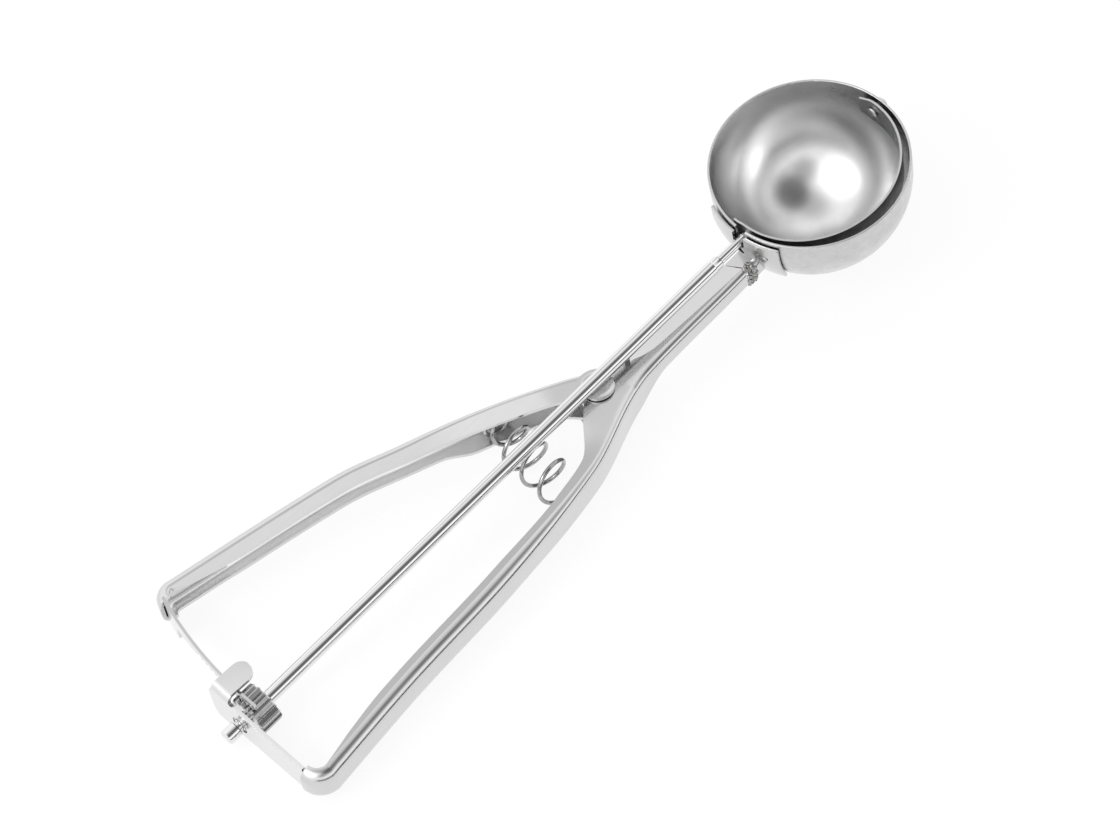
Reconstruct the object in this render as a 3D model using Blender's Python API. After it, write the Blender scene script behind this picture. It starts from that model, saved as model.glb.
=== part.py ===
"""A squeeze-handle ice cream scoop in pressed stainless steel.

Metres, +Z up. The hinge of the two grips is the Z axis, and the flat underside of its rivet is at
Z = 0. +X points at the bowl and +Y at the moving lever. The wiper rod runs above the frame and climbs
towards the bowl. The grips are drawn as they lie when squeezed, and the lever is then swung open.
"""

import math

import bpy
import bmesh
from mathutils import Matrix, Vector

MM = 0.001

# Sheet metal and fits
SHEET = 1.0 * MM
STRIP_SHEET = 0.7 * MM
BOWL_SHEET = 0.6 * MM
BRACKET_SHEET = 0.9 * MM
FIT_GAP = 0.3 * MM
HOLE_CLEARANCE = 0.2 * MM

# Hinge rivet and the ears around it
RIVET_SHANK_RADIUS = 2.3 * MM
RIVET_HEAD_RADIUS = 4.2 * MM
RIVET_HEAD_HEIGHT = 0.9 * MM
FRAME_EAR_RADIUS = 5.6 * MM
LEVER_EAR_RADIUS = 5.2 * MM

# Grip channels
GRIP_HEIGHT = 10.0 * MM
GRIP_CORNER = 3.0 * MM
HINGE_CORNER = 1.7 * MM
GRIP_FLANGE = 4.8 * MM
GRIP_END_FLANGE = 4.6 * MM
SHOULDER_FLANGE = 4.0 * MM

# Fixed grip: distance of its outer face from the middle line, from the end to the hinge
FRAME_END_SPREAD = 28.5 * MM
FRAME_BACK_X = -84.0 * MM
FRAME_BACK_SPREAD = 24.7 * MM
FRAME_MID_X = -52.6 * MM
FRAME_MID_SPREAD = 22.0 * MM
FRAME_SHOULDER_X = -17.3 * MM
FRAME_SHOULDER_SPREAD = 16.0 * MM
FRAME_END_RADIUS = 6.0 * MM
WEB_PLATE_WIDTH = 4.4 * MM
EAR_BLEND = 12.0 * MM

# Neck from the hinge to the bowl
NECK_START_X = 12.0 * MM
NECK_START_SPREAD = 6.6 * MM
NECK_END_X = 47.2 * MM
NECK_END_SPREAD = 5.4 * MM
NECK_DRAWN_X = 17.0 * MM
NECK_HEIGHT = 6.0 * MM
NECK_CORNER = 2.3 * MM
NECK_RIDGE_Y = -2.8 * MM
NECK_LIP_Y = 3.2 * MM
NECK_LIP_ANGLE = math.radians(35)
NECK_FLOOR_Y = 0.8 * MM
NECK_SINK = 0.9 * MM
RELIEF_LENGTH = 1.8 * MM
RELIEF_WIDTH = 0.7 * MM
RELIEF_X = 7.2 * MM

# Lever: the same distances, measured with the grips squeezed together
LEVER_TIP_X = 4.3 * MM
LEVER_TIP_SPREAD = 4.9 * MM
LEVER_HINGE_X = -5.0 * MM
LEVER_HINGE_SPREAD = 8.6 * MM
LEVER_SHOULDER_X = -24.6 * MM
LEVER_SHOULDER_SPREAD = 15.0 * MM
LEVER_MID_X = -44.3 * MM
LEVER_MID_SPREAD = 19.6 * MM
LEVER_BACK_X = -63.4 * MM
LEVER_BACK_SPREAD = 23.4 * MM
LEVER_END_SPREAD = 25.8 * MM
LEVER_END_RADIUS = 5.0 * MM
LEVER_FLANGE = 6.2 * MM
LEVER_SEAT_FLANGE = 6.4 * MM

# Wiper rod and the line it turns on
ROD_RADIUS = 1.8 * MM
ROD_CLEARANCE = 0.35 * MM
ROD_TILT = math.radians(4.4)
ROD_BORE_RADIUS = 1.4 * MM
ROD_BORE_DEPTH = 8.0 * MM
ROD_END_X = 43.2 * MM
SWAGE_LENGTH = 2.4 * MM
SWAGE_RADIUS = 1.65 * MM
STUB_LENGTH = 5.2 * MM
SHAFT_RADIUS = 1.2 * MM
TENON_RADIUS = 0.75 * MM
TENON_HEAD_RADIUS = 1.5 * MM
TENON_HEAD_HEIGHT = 0.5 * MM

# Pinion and rack
TOOTH_MODULE = 0.6 * MM
PINION_TEETH = 16
PINION_LENGTH = 6.0 * MM
TOOTH_GAP = 0.3 * MM
RACK_RADIUS = 115.2 * MM
RACK_HEIGHT = 3.1 * MM
RACK_TEETH_BEFORE = 1
RACK_TEETH_AFTER = 9
RACK_SHOULDER_DROP = 12.6 * MM
RACK_SHOULDER_WIDTH = 5.6 * MM
RACK_TAPER_DROP = 6.2 * MM
RACK_LEG_HEIGHT = 5.6 * MM
RACK_LEG_LENGTH = 15.0 * MM
WIPER_SWEEP = math.radians(180)

# End plate behind the pinion, and the tongue over the rack
PLATE_BEHIND_RACK = 3.2 * MM
PLATE_Y = 9.4 * MM
PLATE_DROP = 6.3 * MM
PLATE_RISE = 6.6 * MM
PLATE_CORNER = 5.4 * MM
PLATE_SLOPE = 1.0 * MM
PLATE_LEG_LENGTH = 20.0 * MM
PLATE_LEG_HEIGHT = 5.6 * MM
PLATE_HOLE_RADIUS = 2.4 * MM
TONGUE_WIDTH = 5.8 * MM
TONGUE_Y = 2.4 * MM
TONGUE_LENGTH = 9.6 * MM
TONGUE_BEND = 1.5 * MM

# Bowl
BOWL_RADIUS = 25.0 * MM
BOWL_BAND = 4.2 * MM
BOWL_BACK_X = 51.2 * MM
SLOT_CLEARANCE = 0.35 * MM
KEYHOLE_RADIUS = 1.0 * MM
KEYHOLE_DROP = 3.9 * MM
KEYHOLE_SLIT = 0.9 * MM

# Saddle bracket between the neck and the bowl
BRACKET_TOP = 2.8 * MM
BRACKET_DROP = 11.2 * MM
BRACKET_HALF_ANGLE = math.radians(25)

# Wiper blade and the pin at its far end
BLADE_SHEET = 0.6 * MM
BLADE_END_CLEARANCE = 0.9 * MM
BLADE_SIDE_CLEARANCE = 1.9 * MM
BLADE_HALF_WIDTH = 4.0 * MM
BLADE_TAB_HALF_WIDTH = 2.8 * MM
BLADE_TAB_ANGLE = math.radians(11)
PIN_RADIUS = 1.2 * MM
PIN_HEAD_RADIUS = 2.0 * MM
PIN_HEAD_HEIGHT = 1.5 * MM

# Return spring between the grips
SPRING_WIRE_RADIUS = 0.55 * MM
SPRING_MIDDLE_RADIUS = 5.1 * MM
SPRING_SAG = 1.4 * MM
SPRING_SWELL = 3.6 * MM
SPRING_OPEN_TURNS = 4.0
SPRING_END_TURNS = 1.0
SPRING_END_PITCH = 1.9 * MM
SPRING_FRAME_X = -24.5 * MM
SPRING_LEVER_X = -22.8 * MM
SEAT_RADIUS = 1.9 * MM
SEAT_LENGTH = 2.4 * MM
SEAT_WALL = 0.7 * MM

# Facets
ROUND = 24
BOWL_ROUND = 48
CURL_POINTS = 10

# Heights and places that follow from the sizes above
FRAME_BOTTOM = RIVET_HEAD_HEIGHT + FIT_GAP
FRAME_TOP = FRAME_BOTTOM + GRIP_HEIGHT
LEVER_BOTTOM = FRAME_BOTTOM + SHEET + FIT_GAP
LEVER_TOP = FRAME_TOP - SHEET - FIT_GAP
RIVET_TOP = FRAME_TOP + FIT_GAP + RIVET_HEAD_HEIGHT
GRIP_MIDDLE = (FRAME_BOTTOM + FRAME_TOP) / 2
ROD_HEIGHT = RIVET_TOP + ROD_CLEARANCE + ROD_RADIUS
PITCH_RADIUS = TOOTH_MODULE * PINION_TEETH / 2
GEAR_RATIO = RACK_RADIUS / PITCH_RADIUS
LEVER_OPENING = WIPER_SWEEP / GEAR_RATIO
PITCH_ANGLE = math.pi * TOOTH_MODULE / RACK_RADIUS
PITCH_LINE = ROD_HEIGHT - RACK_RADIUS * math.tan(ROD_TILT) + PITCH_RADIUS / math.cos(ROD_TILT)
RACK_TIP = PITCH_LINE - 0.8 * TOOTH_MODULE
RACK_ROOT = PITCH_LINE + 1.25 * TOOTH_MODULE
RACK_TOP = RACK_TIP + RACK_HEIGHT
PLATE_X = -RACK_RADIUS - PLATE_BEHIND_RACK
FRAME_END_X = PLATE_X - SHEET / 2 + FRAME_END_RADIUS - SHEET - FIT_GAP
ROD_AT_PLATE = ROD_HEIGHT + PLATE_X * math.tan(ROD_TILT)
BOWL_X = BOWL_BACK_X + BOWL_RADIUS
BLADE_REACH = BOWL_RADIUS - BOWL_SHEET - BLADE_END_CLEARANCE
BLADE_SIDE_REACH = BOWL_RADIUS - BOWL_SHEET - BLADE_SIDE_CLEARANCE


def smooth_step(value):
    """0 below 0, 1 above 1, and a soft S between."""
    value = min(1.0, max(0.0, value))
    return value * value * (3 - 2 * value)


def curve_through(knots):
    """A function y(x) that passes smoothly through a few knots and never overshoots them."""
    knots = sorted(knots)
    xs = [x for x, _ in knots]
    ys = [y for _, y in knots]
    rises = [(ys[i + 1] - ys[i]) / (xs[i + 1] - xs[i]) for i in range(len(xs) - 1)]
    slopes = [rises[0]]
    for before, after in zip(rises, rises[1:]):
        slopes.append(2 * before * after / (before + after) if before * after > 0 else 0.0)
    slopes.append(rises[-1])

    def value(x):
        x = min(xs[-1], max(xs[0], x))
        i = max(k for k in range(len(xs) - 1) if xs[k] <= x or k == 0)
        span = xs[i + 1] - xs[i]
        t = (x - xs[i]) / span
        rise = ys[i + 1] - ys[i]
        start = slopes[i] * span
        end = slopes[i + 1] * span
        return ys[i] + start * t + (3 * rise - 2 * start - end) * t * t + (start + end - 2 * rise) * t**3

    return value


def steps(first, last, count):
    """Evenly spaced values from first to last, both included."""
    return [first + (last - first) * i / (count - 1) for i in range(count)]


def steel(name, colour, roughness, metallic=1.0):
    """A plain metal for one piece."""
    material = bpy.data.materials.new(name)
    material.use_nodes = True
    shader = material.node_tree.nodes["Principled BSDF"]
    shader.inputs["Base Color"].default_value = (*colour, 1.0)
    shader.inputs["Roughness"].default_value = roughness
    shader.inputs["Metallic"].default_value = metallic
    return material


def add_object(name, bm, material=None, parent=None):
    """Turns a bmesh into an object of its own, shaded smooth up to its sharp edges."""
    mesh = bpy.data.meshes.new(name)
    bm.to_mesh(mesh)
    bm.free()
    mesh.shade_smooth()
    mesh.set_sharp_from_angle(angle=math.radians(35))
    thing = bpy.data.objects.new(name, mesh)
    bpy.context.scene.collection.objects.link(thing)
    thing.parent = parent
    if material:
        mesh.materials.append(material)
    return thing


def add_helper(name, bm, parent=None):
    """A shape that only joins or cuts another one."""
    helper = add_object(name, bm, parent=parent)
    helper.hide_render = True
    helper.display_type = "WIRE"
    return helper


def combine(target, other, operation, solver="EXACT"):
    """Joins the other shape to the target, or cuts it from the target."""
    modifier = target.modifiers.new(other.name, "BOOLEAN")
    modifier.operation = operation
    modifier.solver = solver
    modifier.object = other


def thicken(target, thickness, offset):
    """Gives a surface the thickness of its sheet."""
    modifier = target.modifiers.new("sheet", "SOLIDIFY")
    modifier.thickness = thickness
    modifier.offset = offset
    modifier.use_even_offset = True


def grid_surface(rows, outside):
    """A bmesh surface over rows of points, its faces turned towards the outside direction at its middle."""
    bm = bmesh.new()
    grid = [[bm.verts.new(point) for point in row] for row in rows]
    for upper, lower in zip(grid, grid[1:]):
        for i in range(len(upper) - 1):
            bm.faces.new((upper[i], upper[i + 1], lower[i + 1], lower[i]))
    bm.normal_update()
    faces = list(bm.faces)
    middle = faces[(len(rows[0]) - 1) // 2]
    if middle.normal.dot(outside) < 0:
        bmesh.ops.reverse_faces(bm, faces=faces)
    return bm


def turned(profile, axis, count):
    """A solid turned about a local axis from a profile of (distance along the axis, radius)."""
    bm = bmesh.new()
    side = Vector((0, 0, 1)) if axis.x else Vector((1, 0, 0))
    verts = [bm.verts.new(axis * along + side * radius) for along, radius in profile]
    ends_meet = profile[0][1] > 0 or profile[-1][1] > 0
    pairs = list(zip(verts, verts[1:])) + ([(verts[-1], verts[0])] if ends_meet else [])
    edges = [bm.edges.new(pair) for pair in pairs]
    bmesh.ops.spin(
        bm,
        geom=verts + edges,
        cent=(0, 0, 0),
        axis=axis,
        angle=math.tau,
        steps=count,
        use_merge=True,
    )
    bmesh.ops.remove_doubles(bm, verts=bm.verts, dist=1e-7)
    bmesh.ops.recalc_face_normals(bm, faces=bm.faces)
    return bm


def cylinder(radius, start, end, count=ROUND):
    """A round bar between two points."""
    bm = bmesh.new()
    along = end - start
    turn = along.to_track_quat("Z", "Y").to_matrix().to_4x4()
    place = Matrix.Translation((start + end) / 2) @ turn
    bmesh.ops.create_cone(
        bm,
        cap_ends=True,
        segments=count,
        radius1=radius,
        radius2=radius,
        depth=along.length,
        matrix=place,
    )
    return bm


def box(low, high):
    """A block between two corners."""
    bm = bmesh.new()
    size = high - low
    place = Matrix.Translation((low + high) / 2) @ Matrix.Diagonal((*size, 1.0))
    bmesh.ops.create_cube(bm, size=1.0, matrix=place)
    return bm


def channel_row(web, inward, edges, ridge, corner, top, bottom, lip_drop=0.0):
    """Points across a C channel, from the edge of its top flange round the web to its bottom edge."""
    top_edge, bottom_edge = edges
    arc = steps(0.0, math.pi / 2, 5)
    row = [
        Vector((*top_edge, top - lip_drop)),
        Vector((*(top_edge.lerp(ridge, 0.5)), top - lip_drop / 2)),
        Vector((*ridge, top)),
    ]
    for turn in arc:
        point = web + inward * corner * (1 - math.sin(turn))
        row.append(Vector((*point, top - corner * (1 - math.cos(turn)))))
    for turn in reversed(arc):
        point = web + inward * corner * (1 - math.sin(turn))
        row.append(Vector((*point, bottom + corner * (1 - math.cos(turn)))))
    floor_ridge = bottom_edge.lerp(web + inward * corner, 0.5)
    row.append(Vector((*floor_ridge, bottom)))
    row.append(Vector((*bottom_edge, bottom)))
    return row


def round_end_rows(end_x, spread, side, radius, flange, corner, top, bottom):
    """Rows that carry a grip's channel round the quarter turn at its end."""
    rows = []
    centre = Vector((end_x, side * (spread - radius)))
    for turn in steps(0.0, math.pi / 2, 8)[1:]:
        out = Vector((-math.sin(turn), side * math.cos(turn)))
        web = centre + out * radius
        edge = web - out * flange
        ridge = edge.lerp(web - out * corner, 0.6)
        rows.append(channel_row(web, -out, (edge, edge), ridge, corner, top, bottom))
    return rows


# Outlines of the two grips, seen from above

frame_spread = curve_through(
    [
        (FRAME_END_X, FRAME_END_SPREAD),
        (FRAME_BACK_X, FRAME_BACK_SPREAD),
        (FRAME_MID_X, FRAME_MID_SPREAD),
        (FRAME_SHOULDER_X, FRAME_SHOULDER_SPREAD),
        (NECK_START_X, NECK_START_SPREAD),
        (NECK_END_X, NECK_END_SPREAD),
    ]
)
lever_spread = curve_through(
    [
        (FRAME_END_X, LEVER_END_SPREAD),
        (LEVER_BACK_X, LEVER_BACK_SPREAD),
        (LEVER_MID_X, LEVER_MID_SPREAD),
        (LEVER_SHOULDER_X, LEVER_SHOULDER_SPREAD),
        (LEVER_HINGE_X, LEVER_HINGE_SPREAD),
        (LEVER_TIP_X, LEVER_TIP_SPREAD),
    ]
)
grip_corner = curve_through(
    [
        (FRAME_END_X, GRIP_CORNER),
        (FRAME_MID_X, GRIP_CORNER),
        (FRAME_SHOULDER_X, HINGE_CORNER),
        (0.0, HINGE_CORNER),
        (NECK_START_X, NECK_CORNER),
        (NECK_END_X, NECK_CORNER),
    ]
)
FRAME_FLANGE_START_X = FRAME_SHOULDER_X - EAR_BLEND
frame_flange = curve_through(
    [
        (FRAME_END_X, GRIP_END_FLANGE),
        (FRAME_BACK_X, GRIP_FLANGE),
        (FRAME_MID_X, GRIP_FLANGE),
        (FRAME_FLANGE_START_X, SHOULDER_FLANGE),
        (FRAME_SHOULDER_X, WEB_PLATE_WIDTH),
    ]
)
lever_flange = curve_through(
    [
        (FRAME_END_X, GRIP_END_FLANGE),
        (FRAME_BACK_X, LEVER_FLANGE),
        (LEVER_MID_X, LEVER_FLANGE),
        (LEVER_SHOULDER_X, LEVER_SEAT_FLANGE),
    ]
)


def crest(x):
    """Height of the frame's top face: level to the hinge, then climbing with the rod, sinking a little."""
    climb = max(0.0, x - FRAME_EAR_RADIUS) * math.tan(ROD_TILT)
    sink = NECK_SINK * smooth_step((x - NECK_START_X) / (NECK_END_X - NECK_START_X))
    return FRAME_TOP + climb - sink


def keel(x):
    """Height of the frame's underside: level past the hinge, then drawn up to the shallow neck."""
    rise = smooth_step((x - FRAME_EAR_RADIUS) / (NECK_DRAWN_X - FRAME_EAR_RADIUS))
    return FRAME_BOTTOM + (crest(x) - NECK_HEIGHT - FRAME_BOTTOM) * rise


def frame_rows():
    """Rows of the fixed grip's sheet from the bowl end of the neck, past the hinge ears, round the grip's end."""
    rows = []
    for x in steps(NECK_END_X, RELIEF_X + 0.4 * MM, 10):
        web = Vector((x, -frame_spread(x)))
        lip = smooth_step((x - FRAME_EAR_RADIUS) / (NECK_START_X - FRAME_EAR_RADIUS))
        top_edge = Vector((x, NECK_LIP_Y))
        bottom_edge = Vector((x, NECK_FLOOR_Y))
        ridge = Vector((x, NECK_RIDGE_Y))
        drop = lip * (NECK_LIP_Y - NECK_RIDGE_Y) * math.tan(NECK_LIP_ANGLE)
        corner = grip_corner(x)
        rows.append(
            channel_row(web, Vector((0, 1)), (top_edge, bottom_edge), ridge, corner, crest(x), keel(x), drop)
        )
    ear_turns = steps(math.radians(38), math.radians(188), 13)
    ear = [Vector((math.cos(turn), math.sin(turn))) * FRAME_EAR_RADIUS for turn in ear_turns]
    last = ear[-1]
    sweep = curve_through(
        [
            (FRAME_FLANGE_START_X, -(frame_spread(FRAME_FLANGE_START_X) - SHOULDER_FLANGE)),
            (FRAME_SHOULDER_X, -(FRAME_SHOULDER_SPREAD - WEB_PLATE_WIDTH)),
            (last.x - 3.0 * MM, last.y - 2.6 * MM),
            (last.x, last.y),
        ]
    )
    sweep_x = steps(last.x, FRAME_FLANGE_START_X, 10)[1:]
    edges = ear + [Vector((x, sweep(x))) for x in sweep_x]
    # The rows lean forward behind the ear, so that none of them crosses its neighbour.
    behind = 0.8 * last.x
    web_x = steps(RELIEF_X - 1.2 * MM, behind, len(ear)) + steps(behind, FRAME_FLANGE_START_X, 10)[1:]
    for x, edge in zip(web_x, edges):
        web = Vector((x, -frame_spread(x)))
        corner = grip_corner(x)
        ridge = edge.lerp(web + Vector((0, corner)), 0.5)
        rows.append(channel_row(web, Vector((0, 1)), (edge, edge), ridge, corner, crest(x), keel(x)))
    for x in steps(FRAME_FLANGE_START_X, FRAME_END_X, 15)[1:]:
        web = Vector((x, -frame_spread(x)))
        edge = web + Vector((0, frame_flange(x)))
        corner = min(grip_corner(x), frame_flange(x) - 0.2 * MM)
        ridge = edge.lerp(web + Vector((0, corner)), 0.6)
        rows.append(channel_row(web, Vector((0, 1)), (edge, edge), ridge, corner, FRAME_TOP, FRAME_BOTTOM))
    rows += round_end_rows(
        FRAME_END_X,
        FRAME_END_SPREAD,
        -1,
        FRAME_END_RADIUS,
        GRIP_END_FLANGE,
        GRIP_CORNER,
        FRAME_TOP,
        FRAME_BOTTOM,
    )
    return rows


def seat_frame(x, spread, side):
    """Where a spring seat stands on a grip's web, and the direction it points in."""
    tiny = 0.5 * MM
    slope = (spread(x + tiny) - spread(x - tiny)) / (2 * tiny)
    inward = Vector((side * slope, -side, 0)).normalized()
    place = Vector((x, side * spread(x), GRIP_MIDDLE))
    return place, inward


def add_seat(grip, x, spread, side, parent=None):
    """Presses a spring seat out of a grip's web: a closed cup, hollow from outside."""
    place, inward = seat_frame(x, spread, side)
    rise = SHEET + SEAT_LENGTH
    boss = cylinder(SEAT_RADIUS, place + inward * SHEET / 2, place + inward * rise)
    combine(grip, add_helper(grip.name + "_seat", boss, parent), "UNION")
    hollow = cylinder(
        SEAT_RADIUS - SEAT_WALL, place - inward * SHEET, place + inward * (rise - SEAT_WALL)
    )
    combine(grip, add_helper(grip.name + "_seat_hollow", hollow, parent), "DIFFERENCE")


def add_hinge_hole(grip, parent=None):
    """The rivet's hole through both flanges of a grip."""
    low = Vector((0, 0, FRAME_BOTTOM - SHEET))
    high = Vector((0, 0, FRAME_TOP + SHEET))
    hole = cylinder(RIVET_SHANK_RADIUS + HOLE_CLEARANCE, low, high)
    combine(grip, add_helper(grip.name + "_hinge_hole", hole, parent), "DIFFERENCE")


def add_handle_frame():
    """The fixed grip, hinge ears and neck, one formed sheet."""
    surface = grid_surface(frame_rows(), Vector((0, -1, 0)))
    frame = add_object("handle_frame", surface, steel("pressed_steel_frame", (0.74, 0.75, 0.76), 0.16))
    thicken(frame, SHEET, -1)
    add_seat(frame, SPRING_FRAME_X, frame_spread, -1)
    add_hinge_hole(frame)
    low = Vector((RELIEF_X - RELIEF_WIDTH / 2, NECK_RIDGE_Y, FRAME_TOP - 2 * SHEET))
    high = Vector((RELIEF_X + RELIEF_WIDTH / 2, NECK_RIDGE_Y + RELIEF_LENGTH, FRAME_TOP + 2 * SHEET))
    combine(frame, add_helper("relief_slit", box(low, high)), "DIFFERENCE")
    return frame


def lever_end_x():
    """Where the lever's end starts to turn, so that the rack leaves it along the inside of its wrap."""
    leave = LEVER_END_SPREAD - LEVER_END_RADIUS
    outer = RACK_RADIUS + STRIP_SHEET / 2
    return -math.sqrt(outer**2 - leave**2) - FIT_GAP - SHEET + LEVER_END_RADIUS


def lever_height(x):
    """Underside and top of the lever where its flange reaches x: nested in the ears, then as tall as the grip."""
    flare = smooth_step((-x - FRAME_EAR_RADIUS - SHEET) / FRAME_EAR_RADIUS)
    low = LEVER_BOTTOM + (FRAME_BOTTOM - LEVER_BOTTOM) * flare
    high = LEVER_TOP + (FRAME_TOP - LEVER_TOP) * flare
    return low, high


def lever_rows():
    """Rows of the lever's sheet from its tip past the hinge, along the grip and round its end."""
    rows = []
    start = LEVER_SHOULDER_X
    ear_turns = steps(math.radians(6), math.radians(-180), 15)
    edges = [Vector((math.cos(turn), math.sin(turn))) * LEVER_EAR_RADIUS for turn in ear_turns]
    behind = -0.7 * LEVER_EAR_RADIUS
    web_x = steps(LEVER_TIP_X, behind, len(edges)) + steps(behind, start, 9)[1:]
    seat_edge = lever_spread(start) - LEVER_SEAT_FLANGE
    sweep = curve_through([(start, seat_edge), (-LEVER_EAR_RADIUS - 4 * MM, 3.6 * MM), (-LEVER_EAR_RADIUS, 0.0)])
    edges += [Vector((x, sweep(x))) for x in steps(-LEVER_EAR_RADIUS, start, 9)[1:]]
    for x, edge in zip(web_x, edges):
        web = Vector((x, lever_spread(x)))
        corner = grip_corner(x)
        low, high = lever_height(edge.x)
        ridge = edge.lerp(web - Vector((0, corner)), 0.5)
        rows.append(channel_row(web, Vector((0, -1)), (edge, edge), ridge, corner, high, low))
    end = lever_end_x()
    for x in steps(start, end, 16)[1:]:
        web = Vector((x, lever_spread(x)))
        edge = web - Vector((0, lever_flange(x)))
        corner = min(grip_corner(x), lever_flange(x) - 0.2 * MM)
        low, high = lever_height(x)
        ridge = edge.lerp(web - Vector((0, corner)), 0.6)
        rows.append(channel_row(web, Vector((0, -1)), (edge, edge), ridge, corner, high, low))
    low, high = lever_height(end)
    spread = lever_spread(end)
    rows += round_end_rows(end, spread, 1, LEVER_END_RADIUS, GRIP_END_FLANGE, GRIP_CORNER, high, low)
    return rows


def add_lever(hinge):
    """The moving grip, hinged between the frame's ears."""
    surface = grid_surface(lever_rows(), Vector((0, 1, 0)))
    lever = add_object("lever", surface, steel("pressed_steel_lever", (0.75, 0.76, 0.77), 0.15), hinge)
    thicken(lever, SHEET, -1)
    add_seat(lever, SPRING_LEVER_X, lever_spread, 1, hinge)
    add_hinge_hole(lever, hinge)
    return lever


def add_pivot_rivet():
    """The rivet that the grips turn on: a flat head below, and a flat head with a soft edge above."""
    soft = 0.25 * MM
    profile = [
        (0.0, 0.0),
        (0.0, RIVET_HEAD_RADIUS),
        (RIVET_HEAD_HEIGHT, RIVET_HEAD_RADIUS),
        (RIVET_HEAD_HEIGHT, RIVET_SHANK_RADIUS),
        (RIVET_TOP - RIVET_HEAD_HEIGHT, RIVET_SHANK_RADIUS),
        (RIVET_TOP - RIVET_HEAD_HEIGHT, RIVET_HEAD_RADIUS),
        (RIVET_TOP - soft, RIVET_HEAD_RADIUS),
        (RIVET_TOP, RIVET_HEAD_RADIUS - soft),
        (RIVET_TOP, 0.0),
    ]
    add_object("pivot_rivet", turned(profile, Vector((0, 0, 1)), ROUND), steel("rivet_steel", (0.7, 0.71, 0.72), 0.2))


def add_end_plate():
    """The plate that carries the rod's end: a leg inside the fixed grip, the plate and the tongue."""
    bm = bmesh.new()
    middle_radius = FRAME_END_RADIUS - SHEET - FIT_GAP - SHEET / 2
    centre_y = -(FRAME_END_SPREAD - FRAME_END_RADIUS)
    root_y = centre_y + FIT_GAP
    top = ROD_AT_PLATE + PLATE_RISE
    bottom = ROD_AT_PLATE - PLATE_DROP
    leg_high = GRIP_MIDDLE + PLATE_LEG_HEIGHT / 2
    leg_low = GRIP_MIDDLE - PLATE_LEG_HEIGHT / 2
    corner_y = PLATE_Y - PLATE_CORNER
    outline = [(root_y, leg_low), (root_y, bottom + PLATE_SLOPE)]
    for turn in steps(-math.pi / 2, 0.0, 7):
        outline.append(
            (corner_y + PLATE_CORNER * math.cos(turn), bottom + PLATE_CORNER * (1 + math.sin(turn)))
        )
    outline += [
        (PLATE_Y, top - SHEET),
        (TONGUE_Y + TONGUE_WIDTH, top),
        (TONGUE_Y, top),
        (root_y, top - PLATE_SLOPE),
        (root_y, leg_high),
    ]
    verts = [bm.verts.new((PLATE_X, y, z)) for y, z in outline]
    bm.faces.new(verts)
    # The tongue rises from the top edge and bends over the rack.
    rise_top = RACK_TOP + FIT_GAP + SHEET / 2
    path = [(PLATE_X, rise_top - TONGUE_BEND)]
    for turn in steps(0.0, math.pi / 2, 5)[1:]:
        path.append(
            (
                PLATE_X + TONGUE_BEND * (1 - math.cos(turn)),
                rise_top - TONGUE_BEND + TONGUE_BEND * math.sin(turn),
            )
        )
    tongue_middle = TONGUE_Y + TONGUE_WIDTH / 2
    half = TONGUE_WIDTH / 2
    straight_end = PLATE_X + TONGUE_LENGTH - half
    rows = [(x, z, half) for x, z in path] + [(straight_end, rise_top, half)]
    for turn in steps(0.0, math.radians(80), 6)[1:]:
        rows.append((straight_end + half * math.sin(turn), rise_top, half * math.cos(turn)))
    left, right = verts[-4], verts[-3]
    for x, z, reach in rows:
        next_left = bm.verts.new((x, tongue_middle + reach, z))
        next_right = bm.verts.new((x, tongue_middle - reach, z))
        bm.faces.new((left, right, next_right, next_left))
        left, right = next_left, next_right
    # The leg turns the corner inside the grip and lies along its web.
    high, low = verts[-1], verts[0]
    centre = Vector((FRAME_END_X, centre_y))
    path = [
        centre + middle_radius * Vector((-math.cos(turn), -math.sin(turn)))
        for turn in steps(0.0, math.pi / 2, 6)
    ]
    offset = FRAME_END_SPREAD - (-centre_y + middle_radius)
    for x in steps(FRAME_END_X, FRAME_END_X + PLATE_LEG_LENGTH, 5)[1:]:
        path.append(Vector((x, -(frame_spread(x) - offset))))
    for point in path:
        next_high = bm.verts.new((*point, leg_high))
        next_low = bm.verts.new((*point, leg_low))
        bm.faces.new((high, low, next_low, next_high))
        high, low = next_high, next_low
    bmesh.ops.recalc_face_normals(bm, faces=bm.faces)
    plate = add_object("end_plate", bm, steel("plate_steel", (0.76, 0.77, 0.78), 0.12))
    thicken(plate, SHEET, 0)
    hole = cylinder(
        PLATE_HOLE_RADIUS,
        Vector((PLATE_X - 2 * SHEET, 0, ROD_AT_PLATE - 2 * SHEET * math.tan(ROD_TILT))),
        Vector((PLATE_X + 2 * SHEET, 0, ROD_AT_PLATE + 2 * SHEET * math.tan(ROD_TILT))),
    )
    combine(plate, add_helper("rod_hole", hole), "DIFFERENCE")


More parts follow.
